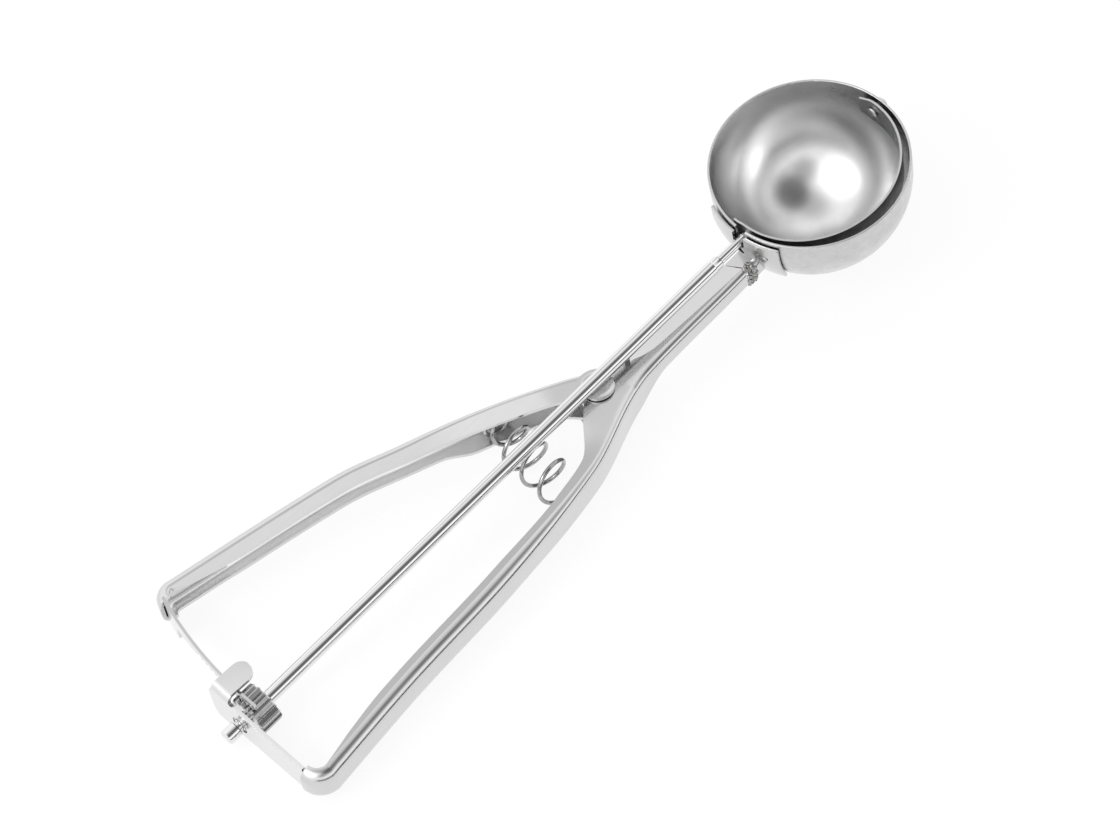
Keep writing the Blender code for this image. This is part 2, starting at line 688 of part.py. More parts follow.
def rack_outline():
    """(angle past the pinion, underside height) along the rack, from its free end to its shoulder."""
    tooth = PITCH_ANGLE / 2 - TOOTH_GAP / RACK_RADIUS
    flank = 0.35 * TOOTH_MODULE / RACK_RADIUS
    outline = [(-(RACK_TEETH_BEFORE + 0.5) * PITCH_ANGLE, RACK_ROOT)]
    for number in range(-RACK_TEETH_BEFORE, RACK_TEETH_AFTER + 1):
        middle = number * PITCH_ANGLE
        outline += [
            (middle - tooth / 2 - flank, RACK_ROOT),
            (middle - tooth / 2 + flank, RACK_TIP),
            (middle + tooth / 2 - flank, RACK_TIP),
            (middle + tooth / 2 + flank, RACK_ROOT),
        ]
    teeth_end = (RACK_TEETH_AFTER + 1) * PITCH_ANGLE - tooth / 2
    leave = math.asin((LEVER_END_SPREAD - LEVER_END_RADIUS) / RACK_RADIUS) + LEVER_OPENING
    shoulder_end = leave - 2 * FIT_GAP / RACK_RADIUS
    shoulder_start = shoulder_end - RACK_SHOULDER_WIDTH / RACK_RADIUS
    outline += [(teeth_end - flank, RACK_ROOT), (teeth_end + flank, RACK_TIP)]
    outline.append((shoulder_start, RACK_TOP - RACK_TAPER_DROP))
    radius = RACK_SHOULDER_WIDTH / 2
    for turn in steps(math.radians(8), math.pi, 9):
        angle = shoulder_start + radius * (1 - math.cos(turn)) / RACK_RADIUS
        outline.append((angle, RACK_TOP - RACK_SHOULDER_DROP + radius * (1 - math.sin(turn))))
    return outline


def add_rack(hinge):
    """The toothed strip: an arc about the hinge, a rounded shoulder, and a leg inside the lever."""
    bm = bmesh.new()
    outline = rack_outline()

    def on_arc(angle, height):
        # Angles are counted with the lever open, and the strip is drawn with it squeezed.
        turn = math.pi - angle + LEVER_OPENING
        return (RACK_RADIUS * math.cos(turn), RACK_RADIUS * math.sin(turn), height)

    leg_high = GRIP_MIDDLE + RACK_LEG_HEIGHT / 2
    leg_low = GRIP_MIDDLE - RACK_LEG_HEIGHT / 2
    columns = [
        (bm.verts.new(on_arc(angle, RACK_TOP)), bm.verts.new(on_arc(angle, low))) for angle, low in outline
    ]
    last_angle = outline[-1][0]
    high = bm.verts.new(on_arc(last_angle, leg_high))
    low = bm.verts.new(on_arc(last_angle, leg_low))
    for (top_a, low_a), (top_b, low_b) in zip(columns[:-2], columns[1:-1]):
        bm.faces.new((top_a, low_a, low_b, top_b))
    top_a, low_a = columns[-2]
    top_b, low_b = columns[-1]
    bm.faces.new((top_a, low_a, low_b, low, high, top_b))
    # Round the corner inside the lever's end, then along its web.
    end = lever_end_x()
    spread = lever_spread(end)
    middle_radius = LEVER_END_RADIUS - SHEET - FIT_GAP - STRIP_SHEET / 2
    centre = Vector((end, spread - LEVER_END_RADIUS))
    path = [
        centre + middle_radius * Vector((-math.cos(turn), math.sin(turn)))
        for turn in steps(0.0, math.pi / 2, 6)
    ]
    offset = LEVER_END_RADIUS - middle_radius
    for x in steps(end, end + RACK_LEG_LENGTH, 5)[1:]:
        path.append(Vector((x, lever_spread(x) - offset)))
    for i, point in enumerate(path):
        trim = RACK_LEG_HEIGHT * (0.3 if i == len(path) - 1 else 0.0)
        next_high = bm.verts.new((*point, leg_high - trim))
        next_low = bm.verts.new((*point, leg_low + trim))
        bm.faces.new((high, low, next_low, next_high))
        high, low = next_high, next_low
    bmesh.ops.recalc_face_normals(bm, faces=bm.faces)
    rack = add_object("rack", bm, steel("rack_steel", (0.76, 0.77, 0.78), 0.14), hinge)
    thicken(rack, STRIP_SHEET, 0)


def add_return_spring(hinge):
    """The spring that opens the grips: one wire, close at both seats, wide and open between them."""
    frame_place, frame_inward = seat_frame(SPRING_FRAME_X, frame_spread, -1)
    lever_place, lever_inward = seat_frame(SPRING_LEVER_X, lever_spread, 1)
    start = frame_place + frame_inward * (SHEET + FIT_GAP)
    end = hinge @ (lever_place + lever_inward * (SHEET + FIT_GAP))
    along = (end - start).normalized()
    across = Vector((0, 0, 1))
    sideways = along.cross(across).normalized()
    length = (end - start).length
    wire = 2 * SPRING_WIRE_RADIUS
    end_radius = (GRIP_HEIGHT - 2 * SHEET) / 2 - FIT_GAP - SPRING_WIRE_RADIUS
    end_length = SPRING_END_TURNS * SPRING_END_PITCH
    open_length = length - 2 * (wire + end_length)
    turns = SPRING_OPEN_TURNS + 2 * SPRING_END_TURNS
    count = round(turns * CURL_POINTS)
    points = [start]
    for i in range(count + 1):
        turn = turns * i / count
        before = min(turn, SPRING_END_TURNS)
        between = min(max(turn - SPRING_END_TURNS, 0.0), SPRING_OPEN_TURNS)
        after = max(turn - SPRING_END_TURNS - SPRING_OPEN_TURNS, 0.0)
        reach = wire + (before + after) * SPRING_END_PITCH + between / SPRING_OPEN_TURNS * open_length
        past_frame = reach - (WEB_PLATE_WIDTH - SHEET)
        past_lever = length - reach - (LEVER_SEAT_FLANGE - SHEET)
        swell = smooth_step(min(past_frame, past_lever) / SPRING_SWELL)
        radius = end_radius + (SPRING_MIDDLE_RADIUS - end_radius) * swell
        centre = start + along * reach - across * SPRING_SAG * swell
        angle = math.tau * turn
        points.append(centre + (across * math.cos(angle) + sideways * math.sin(angle)) * radius)
    points[0] = points[1] - along * wire
    points.append(points[-1] + along * wire)
    curve = bpy.data.curves.new("return_spring", "CURVE")
    curve.dimensions = "3D"
    curve.bevel_depth = SPRING_WIRE_RADIUS
    curve.bevel_resolution = 1
    curve.use_fill_caps = True
    spline = curve.splines.new("POLY")
    spline.points.add(len(points) - 1)
    for slot, point in zip(spline.points, points):
        slot.co = (*point, 1.0)
    spring = bpy.data.objects.new("return_spring", curve)
    bpy.context.scene.collection.objects.link(spring)
    curve.materials.append(steel("spring_wire", (0.6, 0.61, 0.62), 0.2))
    gap = min(
        (a - b).length
        for i, a in enumerate(points[1:-1])
        for b in points[i + 1 + CURL_POINTS // 2 : -1]
    )
    print(f"return_spring: least gap to itself {(gap - wire) / MM:.2f} mm")


def add_wiper_rod(line):
    """The long rod: a stub through the end plate, and a bore that grips the blade's shaft."""
    start = PLATE_X / math.cos(ROD_TILT) - STUB_LENGTH
    nose = 0.6 * MM
    bore_start = ROD_END_X - ROD_BORE_DEPTH
    profile = [
        (start, 0.0),
        (start, ROD_RADIUS - nose),
        (start + 0.3 * nose, ROD_RADIUS - 0.3 * nose),
        (start + nose, ROD_RADIUS),
        (ROD_END_X - SWAGE_LENGTH, ROD_RADIUS),
        (ROD_END_X - SWAGE_LENGTH + 0.2 * MM, SWAGE_RADIUS),
        (ROD_END_X, SWAGE_RADIUS),
        (ROD_END_X, ROD_BORE_RADIUS),
        (bore_start, ROD_BORE_RADIUS),
        (bore_start, 0.0),
    ]
    add_object("wiper_rod", turned(profile, Vector((1, 0, 0)), ROUND), steel("rod_steel", (0.72, 0.73, 0.74), 0.1), line)


def add_blade_shaft(line):
    """The thin shaft between the rod and the blade, riveted over inside the blade."""
    blade_out = BOWL_X - BLADE_REACH
    shoulder = blade_out - FIT_GAP
    inside = blade_out + BLADE_SHEET + FIT_GAP
    profile = [
        (ROD_END_X - ROD_BORE_DEPTH + FIT_GAP, 0.0),
        (ROD_END_X - ROD_BORE_DEPTH + FIT_GAP, SHAFT_RADIUS),
        (shoulder, SHAFT_RADIUS),
        (shoulder, TENON_RADIUS),
        (inside, TENON_RADIUS),
        (inside, TENON_HEAD_RADIUS),
        (inside + TENON_HEAD_HEIGHT, TENON_HEAD_RADIUS * 0.8),
        (inside + TENON_HEAD_HEIGHT, 0.0),
    ]
    add_object("blade_shaft", turned(profile, Vector((1, 0, 0)), ROUND), steel("shaft_steel", (0.7, 0.71, 0.72), 0.14), line)


def add_far_pivot_pin(line):
    """The pin at the blade's far end: its head outside the bowl, riveted over inside the blade."""
    wall_out = BOWL_X + BOWL_RADIUS
    blade_out = BOWL_X + BLADE_REACH
    inside = blade_out - BLADE_SHEET - FIT_GAP
    head = wall_out + FIT_GAP
    profile = [
        (inside - TENON_HEAD_HEIGHT, 0.0),
        (inside - TENON_HEAD_HEIGHT, TENON_HEAD_RADIUS * 0.8),
        (inside, TENON_HEAD_RADIUS),
        (inside, TENON_RADIUS),
        (blade_out + FIT_GAP, TENON_RADIUS),
        (blade_out + FIT_GAP, PIN_RADIUS),
        (head, PIN_RADIUS),
        (head, PIN_HEAD_RADIUS),
        (head + 0.6 * PIN_HEAD_HEIGHT, PIN_HEAD_RADIUS),
        (head + PIN_HEAD_HEIGHT, 0.6 * PIN_HEAD_RADIUS),
        (head + PIN_HEAD_HEIGHT, 0.0),
    ]
    add_object("far_pivot_pin", turned(profile, Vector((1, 0, 0)), ROUND), steel("pin_steel", (0.7, 0.71, 0.72), 0.18), line)


def add_pinion(line):
    """The toothed roller on the rod, its teeth in mesh with the rack above it."""
    bm = bmesh.new()
    tip = PITCH_RADIUS + TOOTH_MODULE
    root = PITCH_RADIUS - 1.3 * TOOTH_MODULE
    half_tooth = (math.pi * TOOTH_MODULE / 2 - TOOTH_GAP) / PITCH_RADIUS / 2
    outline = []
    for number in range(PINION_TEETH):
        # A space, not a tooth, faces straight up, where a tooth of the rack lies.
        middle = math.tau * (number + 0.5) / PINION_TEETH
        for radius, reach in (
            (root, -1.55),
            (PITCH_RADIUS, -1.0),
            (tip, -0.5),
            (tip, 0.5),
            (PITCH_RADIUS, 1.0),
            (root, 1.55),
        ):
            angle = middle + reach * half_tooth
            outline.append((radius * math.sin(angle), radius * math.cos(angle)))
    middle_x = -RACK_RADIUS / math.cos(ROD_TILT) + PINION_LENGTH / 2 - 1.1 * MM
    start = middle_x - PINION_LENGTH / 2
    verts = [bm.verts.new((start, y, z)) for y, z in outline]
    face = bm.faces.new(verts)
    made = bmesh.ops.extrude_face_region(bm, geom=[face])
    moved = [item for item in made["geom"] if isinstance(item, bmesh.types.BMVert)]
    bmesh.ops.translate(bm, verts=moved, vec=(PINION_LENGTH, 0, 0))
    bmesh.ops.recalc_face_normals(bm, faces=bm.faces)
    pinion = add_object("pinion", bm, steel("pinion_steel", (0.66, 0.67, 0.68), 0.22), line)
    bore = cylinder(
        ROD_RADIUS + HOLE_CLEARANCE,
        Vector((start - MM, 0, 0)),
        Vector((start + PINION_LENGTH + MM, 0, 0)),
    )
    combine(pinion, add_helper("pinion_bore", bore, line), "DIFFERENCE")


def keyhole(grow, x_from, x_to, line):
    """Cutters for the slot that drops over the blade's shaft, its slit and its round foot."""
    half = SHAFT_RADIUS + SLOT_CLEARANCE + grow
    foot = KEYHOLE_RADIUS + grow / 2
    slit = KEYHOLE_SLIT / 2 + grow / 2
    lift = 2 * BOWL_BAND
    return [
        add_helper("shaft_seat", cylinder(half, Vector((x_from, 0, 0)), Vector((x_to, 0, 0))), line),
        add_helper("shaft_slot", box(Vector((x_from, -half, 0)), Vector((x_to, half, lift))), line),
        add_helper("relief", box(Vector((x_from, -slit, -KEYHOLE_DROP)), Vector((x_to, slit, 0))), line),
        add_helper(
            "relief_foot",
            cylinder(foot, Vector((x_from, 0, -KEYHOLE_DROP)), Vector((x_to, 0, -KEYHOLE_DROP))),
            line,
        ),
    ]


def add_bowl(line):
    """The bowl: a short band over a hemisphere, centred on the wiper's line."""
    inner = BOWL_RADIUS - BOWL_SHEET
    profile = [(BOWL_BAND, BOWL_RADIUS)]
    profile += [
        (-BOWL_RADIUS * math.sin(turn), BOWL_RADIUS * math.cos(turn)) for turn in steps(0, math.pi / 2, 11)
    ]
    profile += [(-inner * math.cos(turn), inner * math.sin(turn)) for turn in steps(0, math.pi / 2, 11)]
    profile.append((BOWL_BAND, inner))
    bm = bmesh.new()
    verts = [bm.verts.new((radius, 0, height)) for height, radius in profile]
    pairs = [pair for pair in zip(verts, verts[1:]) if pair != (verts[11], verts[12])]
    edges = [bm.edges.new(pair) for pair in pairs + [(verts[-1], verts[0])]]
    bmesh.ops.spin(
        bm,
        geom=verts + edges,
        cent=(0, 0, 0),
        axis=(0, 0, 1),
        angle=math.tau,
        steps=BOWL_ROUND,
        use_merge=True,
    )
    bmesh.ops.remove_doubles(bm, verts=bm.verts, dist=1e-7)
    bmesh.ops.recalc_face_normals(bm, faces=bm.faces)
    bmesh.ops.translate(bm, verts=bm.verts, vec=(BOWL_X, 0, 0))
    bowl = add_object("bowl", bm, steel("bowl_steel", (0.72, 0.73, 0.74), 0.24), line)
    wall = BOWL_X - BOWL_RADIUS
    for cutter in keyhole(0.0, wall - MM, wall + 3 * MM, line):
        combine(bowl, cutter, "DIFFERENCE")
    far = BOWL_X + BOWL_RADIUS
    hole = cylinder(PIN_RADIUS + FIT_GAP, Vector((far - 3 * MM, 0, 0)), Vector((far + MM, 0, 0)))
    combine(bowl, add_helper("pin_hole", hole, line), "DIFFERENCE")


def add_saddle_bracket(line, line_place):
    """The bracket that hugs the back of the bowl, with the short collar that the neck is welded to."""
    inner = BOWL_RADIUS + FIT_GAP
    rows = []
    for turn in steps(-BRACKET_HALF_ANGLE, BRACKET_HALF_ANGLE, 9):
        row = []
        for height in steps(BRACKET_TOP, -BRACKET_DROP, 9):
            reach = math.sqrt(inner**2 - min(height, 0.0) ** 2)
            row.append(Vector((BOWL_X - reach * math.cos(turn), reach * math.sin(turn), height)))
        rows.append(row)
    shell = grid_surface(rows, Vector((-1, 0, 0)))
    bracket = add_object("saddle_bracket", shell, steel("bracket_steel", (0.7, 0.71, 0.72), 0.2), line)
    thicken(bracket, BRACKET_SHEET, 1)
    # The collar carries the neck's section on to the bracket.
    section = [line_place.inverted() @ point for point in frame_rows()[0]]
    middle = inner + 0.6 * BRACKET_SHEET
    near = [point + Vector((FIT_GAP, 0, 0)) for point in section]
    far = [
        Vector((BOWL_X - math.sqrt(middle**2 - point.y**2 - point.z**2), point.y, point.z)) for point in section
    ]
    collar = add_helper("collar", grid_surface([near, far], Vector((0, -1, 0))), line)
    thicken(collar, SHEET, -1)
    # The collar's curved foot lies inside the shell's thickness, which only this solver resolves.
    combine(bracket, collar, "UNION", "MANIFOLD")
    back = BOWL_X - inner - BRACKET_SHEET
    for cutter in keyhole(0.2 * MM, back - 0.6 * MM, back + 3 * MM, line):
        combine(bracket, cutter, "DIFFERENCE")


def add_wiper_blade(line):
    """The half hoop that sweeps the bowl, at rest against the side away from the lever."""
    rows = []
    for turn in steps(-BLADE_TAB_ANGLE, math.pi + BLADE_TAB_ANGLE, 31):
        past = max(-turn, turn - math.pi, 0.0) / BLADE_TAB_ANGLE
        reach = BLADE_HALF_WIDTH + (BLADE_TAB_HALF_WIDTH - BLADE_HALF_WIDTH) * smooth_step(past)
        x = BOWL_X + BLADE_REACH * math.cos(turn)
        y = -BLADE_SIDE_REACH * math.sin(turn)
        rows.append([Vector((x, y, reach * share)) for share in (1, 0, -1)])
    surface = grid_surface(rows, Vector((1, 0, 0)))
    blade = add_object("wiper_blade", surface, steel("blade_steel", (0.74, 0.75, 0.76), 0.18), line)
    thicken(blade, BLADE_SHEET, -1)
    hole = cylinder(
        TENON_RADIUS + HOLE_CLEARANCE,
        Vector((BOWL_X - BLADE_REACH - MM, 0, 0)),
        Vector((BOWL_X + BLADE_REACH + MM, 0, 0)),
    )
    combine(blade, add_helper("tenon_holes", hole, line), "DIFFERENCE")


def main():
    for old in list(bpy.data.objects):
        bpy.data.objects.remove(old, do_unlink=True)

    line = bpy.data.objects.new("wiper_line", None)
    line.location = (0, 0, ROD_HEIGHT)
    line.rotation_euler = (0, -ROD_TILT, 0)
    hinge = bpy.data.objects.new("lever_hinge", None)
    hinge.rotation_euler = (0, 0, -LEVER_OPENING)
    for empty in (line, hinge):
        bpy.context.scene.collection.objects.link(empty)
    bpy.context.view_layer.update()

    add_handle_frame()
    add_end_plate()
    add_pivot_rivet()
    add_lever(hinge)
    add_rack(hinge)
    add_return_spring(hinge.matrix_world)
    add_bowl(line)
    add_saddle_bracket(line, line.matrix_world)
    add_wiper_rod(line)
    add_pinion(line)
    add_blade_shaft(line)
    add_wiper_blade(line)
    add_far_pivot_pin(line)


main()
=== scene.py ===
import math

import bmesh
import bpy
from mathutils import Matrix, Vector


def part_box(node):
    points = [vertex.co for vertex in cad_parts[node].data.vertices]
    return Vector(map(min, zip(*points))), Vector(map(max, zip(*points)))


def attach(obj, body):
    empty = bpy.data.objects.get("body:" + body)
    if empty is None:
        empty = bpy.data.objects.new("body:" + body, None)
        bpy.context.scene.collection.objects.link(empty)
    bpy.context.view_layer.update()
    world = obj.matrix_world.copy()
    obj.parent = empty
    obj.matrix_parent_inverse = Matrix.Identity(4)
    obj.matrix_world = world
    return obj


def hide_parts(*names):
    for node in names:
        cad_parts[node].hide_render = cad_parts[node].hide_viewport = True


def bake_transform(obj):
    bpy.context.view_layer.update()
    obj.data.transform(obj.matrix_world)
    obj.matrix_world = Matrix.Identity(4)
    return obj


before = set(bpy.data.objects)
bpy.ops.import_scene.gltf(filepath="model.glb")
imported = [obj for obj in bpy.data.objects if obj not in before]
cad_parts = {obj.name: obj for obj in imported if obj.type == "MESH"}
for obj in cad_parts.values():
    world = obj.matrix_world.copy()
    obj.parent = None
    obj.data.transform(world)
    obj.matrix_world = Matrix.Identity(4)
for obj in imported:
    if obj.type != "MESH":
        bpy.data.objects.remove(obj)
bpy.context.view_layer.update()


# Bowl: the round cup that digs the ball, drawn from 0.6 mm stainless sheet and tumbled to a satin
# grey. Its rim is a short straight band. A slot in the near wall drops over the blade's shaft and
# ends in a narrow relief slit with a round foot; the far wall has a hole for the blade's end pin.
MM = 0.001
ROD_HEIGHT = 14.55 * MM
ROD_TILT = math.radians(4.4)
BOWL_X = 76.2 * MM
BOWL_RADIUS = 25.0 * MM
BOWL_SHEET = 0.6 * MM
BOWL_BAND = 4.2 * MM
PIN_HOLE_RADIUS = 1.5 * MM


def deselect():
    """Leaves object mode with nothing selected."""
    if bpy.context.object and bpy.context.object.mode != "OBJECT":
        bpy.ops.object.mode_set(mode="OBJECT")
    bpy.ops.object.select_all(action="DESELECT")


def pick(piece):
    """Makes one piece the selected and active object."""
    deselect()
    piece.select_set(True)
    bpy.context.view_layer.objects.active = piece


def select_where(piece, kind, test):
    """In edit mode, selects the piece's vertices or edges that pass a test on their middle."""
    bpy.ops.mesh.select_mode(type=kind)
    bpy.ops.mesh.select_all(action="DESELECT")
    mesh = bmesh.from_edit_mesh(piece.data)
    for item in mesh.verts if kind == "VERT" else mesh.edges:
        middle = item.co if kind == "VERT" else (item.verts[0].co + item.verts[1].co) / 2
        if test(middle, item):
            item.select_set(True)
    mesh.select_flush_mode()
    bmesh.update_edit_mesh(piece.data)


def fix_place(piece):
    """Puts a piece's place, turn and size into its mesh."""
    pick(piece)
    bpy.ops.object.transform_apply(location=True, rotation=True, scale=True)


def draw_on(x, y, z):
    """Draws the selected edges of a skin on by this much."""
    bpy.ops.mesh.extrude_edges_move(TRANSFORM_OT_translate={"value": (x, y, z)})


def modify(piece, kind, **values):
    """Adds a modifier with these values and applies it."""
    pick(piece)
    modifier = piece.modifiers.new(kind.lower(), kind)
    for name, value in values.items():
        setattr(modifier, name, value)
    bpy.ops.object.modifier_apply(modifier=modifier.name)


def soften(piece, width, segments=2):
    """Rounds the piece's sharp edges a little, as tumbling and wear do."""
    sharp = math.radians(60)
    modify(piece, "BEVEL", width=width, segments=segments, limit_method="ANGLE", angle_limit=sharp)


def thicken(piece, thickness, rim=0):
    """Gives a skin its sheet thickness. Its inner face, and with rim 1 its cut edges, use slot 1."""
    piece.data.materials.append(None)
    piece.data.materials.append(None)
    modify(
        piece,
        "SOLIDIFY",
        thickness=thickness,
        offset=-1,
        use_even_offset=True,
        material_offset=1,
        material_offset_rim=rim,
    )


def cut(piece, cutter, operation="DIFFERENCE"):
    """Cuts a shape out of the piece, or joins it on, and removes the shape."""
    modify(piece, "BOOLEAN", object=cutter, operation=operation, solver="EXACT")
    bpy.data.objects.remove(cutter, do_unlink=True)


def settle(piece, name, angle=30):
    """Names a finished piece, puts its place into its mesh and shades it smooth up to its edges."""
    fix_place(piece)
    bpy.ops.object.shade_smooth_by_angle(angle=math.radians(angle))
    modify(piece, "WEIGHTED_NORMAL", keep_sharp=True)
    piece.name = name
    piece.data.name = name
    return piece


def to_rod_line(piece):
    """Tips a piece that was made along the X axis on to the rod's sloping line."""
    piece.rotation_euler = (0, -ROD_TILT, 0)
    piece.location = Matrix.Rotation(-ROD_TILT, 3, "Y") @ piece.location + Vector((0, 0, ROD_HEIGHT))
    fix_place(piece)


def bar(radius, start, end, vertices=48):
    """A round cutter or bar between two points."""
    deselect()
    along = end - start
    bpy.ops.mesh.primitive_cylinder_add(
        vertices=vertices, radius=radius, depth=along.length, location=(start + end) / 2
    )
    piece = bpy.context.object
    piece.rotation_euler = along.to_track_quat("Z", "Y").to_euler()
    return piece


def block(low, high):
    """A square cutter between two corners."""
    deselect()
    bpy.ops.mesh.primitive_cube_add(size=1, location=(low + high) / 2)
    piece = bpy.context.object
    piece.scale = high - low
    return piece


def along_x(radius, start, end):
    """A round cutter on the X axis, from one x to another."""
    return bar(radius, Vector((start, 0, 0)), Vector((end, 0, 0)))


def add_node(tree, kind, inputs, **settings):
    """Adds a shader node with its settings. Each input takes a value, or another node's output."""
    node = tree.nodes.new(kind)
    for name, value in settings.items():
        setattr(node, name, value)
    for name, value in inputs.items():
        if isinstance(value, bpy.types.NodeSocket):
            tree.links.new(value, node.inputs[name])
        else:
            node.inputs[name].default_value = value
    return node


def math_node(tree, operation, *values):
    """Adds a node that does one sum on values or on other nodes' outputs, and returns its output."""
    return add_node(tree, "ShaderNodeMath", dict(enumerate(values)), operation=operation).outputs["Value"]


def map_node(tree, value, low, high, to_low, to_high, **settings):
    """Adds a node that carries a value from one range to another, and returns its output."""
    inputs = {"Value": value, "From Min": low, "From Max": high, "To Min": to_low, "To Max": to_high}
    return add_node(tree, "ShaderNodeMapRange", inputs, **settings).outputs["Result"]


def rubbed_steel_group():
    """Steel surface shared by every piece: fine grain along one direction, soft smudges, small nicks."""
    group = bpy.data.node_groups.new("rubbed_steel", "ShaderNodeTree")
    face = group.interface
    for name in ("Light Steel", "Dark Steel"):
        face.new_socket(name, in_out="INPUT", socket_type="NodeSocketColor")
    for name in ("Polished", "Dull", "Grain Along", "Grain Across", "Smudge Size"):
        face.new_socket(name, in_out="INPUT", socket_type="NodeSocketFloat")
    face.new_socket("Color", in_out="OUTPUT", socket_type="NodeSocketColor")
    for name in ("Roughness", "Height"):
        face.new_socket(name, in_out="OUTPUT", socket_type="NodeSocketFloat")
    given = group.nodes.new("NodeGroupInput").outputs
    place = group.nodes.new("ShaderNodeTexCoord").outputs["Object"]
    along, across = given["Grain Along"], given["Grain Across"]
    stretch = add_node(group, "ShaderNodeCombineXYZ", {"X": along, "Y": across, "Z": across})
    factors = {0: place, 1: stretch.outputs["Vector"]}
    scaled = add_node(group, "ShaderNodeVectorMath", factors, operation="MULTIPLY")
    fine = {"Vector": scaled.outputs["Vector"], "Scale": 1.0, "Detail": 4.0}
    grain = add_node(group, "ShaderNodeTexNoise", fine).outputs["Fac"]
    soft = {"Vector": place, "Scale": given["Smudge Size"], "Detail": 5.0, "Roughness": 0.6}
    smudge = add_node(group, "ShaderNodeTexNoise", soft).outputs["Fac"]
    nicks = add_node(group, "ShaderNodeTexVoronoi", {"Vector": place, "Scale": 110.0})
    nick_mask = map_node(group, nicks.outputs["Distance"], 0.012, 0.03, 0.75, 1.0)
    mixed = math_node(group, "MULTIPLY_ADD", grain, 0.45, math_node(group, "MULTIPLY", smudge, 0.6))
    tones = {"Factor": mixed, "A": given["Light Steel"], "B": given["Dark Steel"]}
    results = {
        "Color": add_node(group, "ShaderNodeMix", tones, data_type="RGBA").outputs["Result"],
        "Roughness": map_node(group, mixed, 0.3, 0.75, given["Polished"], given["Dull"]),
        "Height": math_node(group, "MULTIPLY", grain, nick_mask),
    }
    add_node(group, "NodeGroupOutput", results)
    return group


RUBBED_STEEL = rubbed_steel_group()


def grey(tone):
    """A plain grey as a colour."""
    return (tone, tone, tone, 1.0)


def steel(name, light, dark, rough, grain=(60.0, 2500.0), smudge=90.0, relief=0.006):
    """A stainless finish of its own for one kind of piece: greys, roughness from polished to dull,
    grain along and across the X axis, size of the smudges, and depth of the relief in mm."""
    material = bpy.data.materials.new(name)
    material.use_nodes = True
    tree = material.node_tree
    values = dict(enumerate((light, dark, *rough, *grain, smudge)))
    surface = add_node(tree, "ShaderNodeGroup", values, node_tree=RUBBED_STEEL).outputs
    dents = {"Strength": 0.25, "Distance": relief * MM, "Height": surface["Height"]}
    bump = add_node(tree, "ShaderNodeBump", dents)
    shader = tree.nodes["Principled BSDF"].inputs
    shader["Metallic"].default_value = 1.0
    tree.links.new(surface["Color"], shader["Base Color"])
    tree.links.new(surface["Roughness"], shader["Roughness"])
    tree.links.new(bump.outputs["Normal"], shader["Normal"])
    return material


def dress(piece, material, body, slot, *nodes, inner=None):
    """Gives a piece its finish, that of its inner faces, its body and the CAD nodes it stands for."""
    if inner:
        piece.data.materials[0] = material
        piece.data.materials[1] = inner
    else:
        piece.data.materials.clear()
        piece.data.materials.append(material)
    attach(piece, body)
    if nodes:
        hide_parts(*nodes)


def cut_slot(piece, half, foot, slit, near, far):
    """Cuts the shaft's slot: round seat, open slot above it, thin slit below it and its round foot."""
    drop = 3.9 * MM
    cut(piece, along_x(half, near, far))
    cut(piece, block(Vector((near, -half, 0)), Vector((far, half, 2 * BOWL_BAND))))
    cut(piece, block(Vector((near, -slit, -drop)), Vector((far, slit, 0))))
    cut(piece, bar(foot, Vector((near, 0, -drop)), Vector((far, 0, -drop)), vertices=32))


deselect()
bpy.ops.mesh.primitive_uv_sphere_add(segments=128, ring_count=64, radius=BOWL_RADIUS)
bowl = bpy.context.object
bpy.ops.object.mode_set(mode="EDIT")
bpy.ops.mesh.select_all(action="SELECT")
bpy.ops.mesh.bisect(plane_co=(0, 0, 0), plane_no=(0, 0, 1), clear_outer=True)
select_where(bowl, "EDGE", lambda middle, edge: edge.is_boundary)
draw_on(0, 0, BOWL_BAND)
bpy.ops.object.mode_set(mode="OBJECT")
thicken(bowl, BOWL_SHEET)
soften(bowl, 0.2 * MM, segments=3)
bowl.location = (BOWL_X, 0, 0)
fix_place(bowl)
wall = BOWL_X - BOWL_RADIUS
cut_slot(bowl, half=1.55 * MM, foot=1.0 * MM, slit=0.45 * MM, near=wall - MM, far=wall + 3 * MM)
pin_wall = BOWL_X + BOWL_RADIUS
cut(bowl, along_x(PIN_HOLE_RADIUS, pin_wall - 3 * MM, pin_wall + MM))
to_rod_line(bowl)
settle(bowl, "ice_cream_bowl")
SATIN_BOWL = steel(
    "satin_bowl_steel", grey(0.72), grey(0.64), (0.2, 0.28), (500.0, 700.0), smudge=55.0, relief=0.002
)
TUMBLED_BOWL = steel(
    "tumbled_bowl_steel", grey(0.64), grey(0.42), (0.2, 0.34), (500.0, 700.0), smudge=190.0, relief=0.003
)
dress(bowl, TUMBLED_BOWL, "frame", "bowl_steel", "bowl", inner=SATIN_BOWL)


# Saddle bracket: a curved plate of 0.9 mm sheet that hugs the back of the bowl, with a short
# channel-shaped collar drawn out of it. The neck is welded to the collar, and the plate to the bowl.
SHEET = 1.0 * MM
BRACKET_SHEET = 0.9 * MM
BRACKET_TURN = math.radians(25)
BRACKET_TOP = 2.8 * MM
BRACKET_FOOT = -11.2 * MM
FIT_GAP = 0.3 * MM
NECK_END_X = 47.2 * MM
NECK_START_X = 12 * MM
NECK_ROOT_X = 7.6 * MM
NECK_DEPTH = 6.0 * MM
LIP_EDGE_Y = 3.2 * MM
LIP_SLOPE = math.radians(35)
EAR_RADIUS = 5.6 * MM
GRIP_END_X = -114.2 * MM
GRIP_TOP = 11.2 * MM
GRIP_FOOT = 1.2 * MM


def smooth_step(value):
    """0 below 0, 1 above 1, and a soft S between."""
    value = min(1.0, max(0.0, value))
    return value * value * (3 - 2 * value)


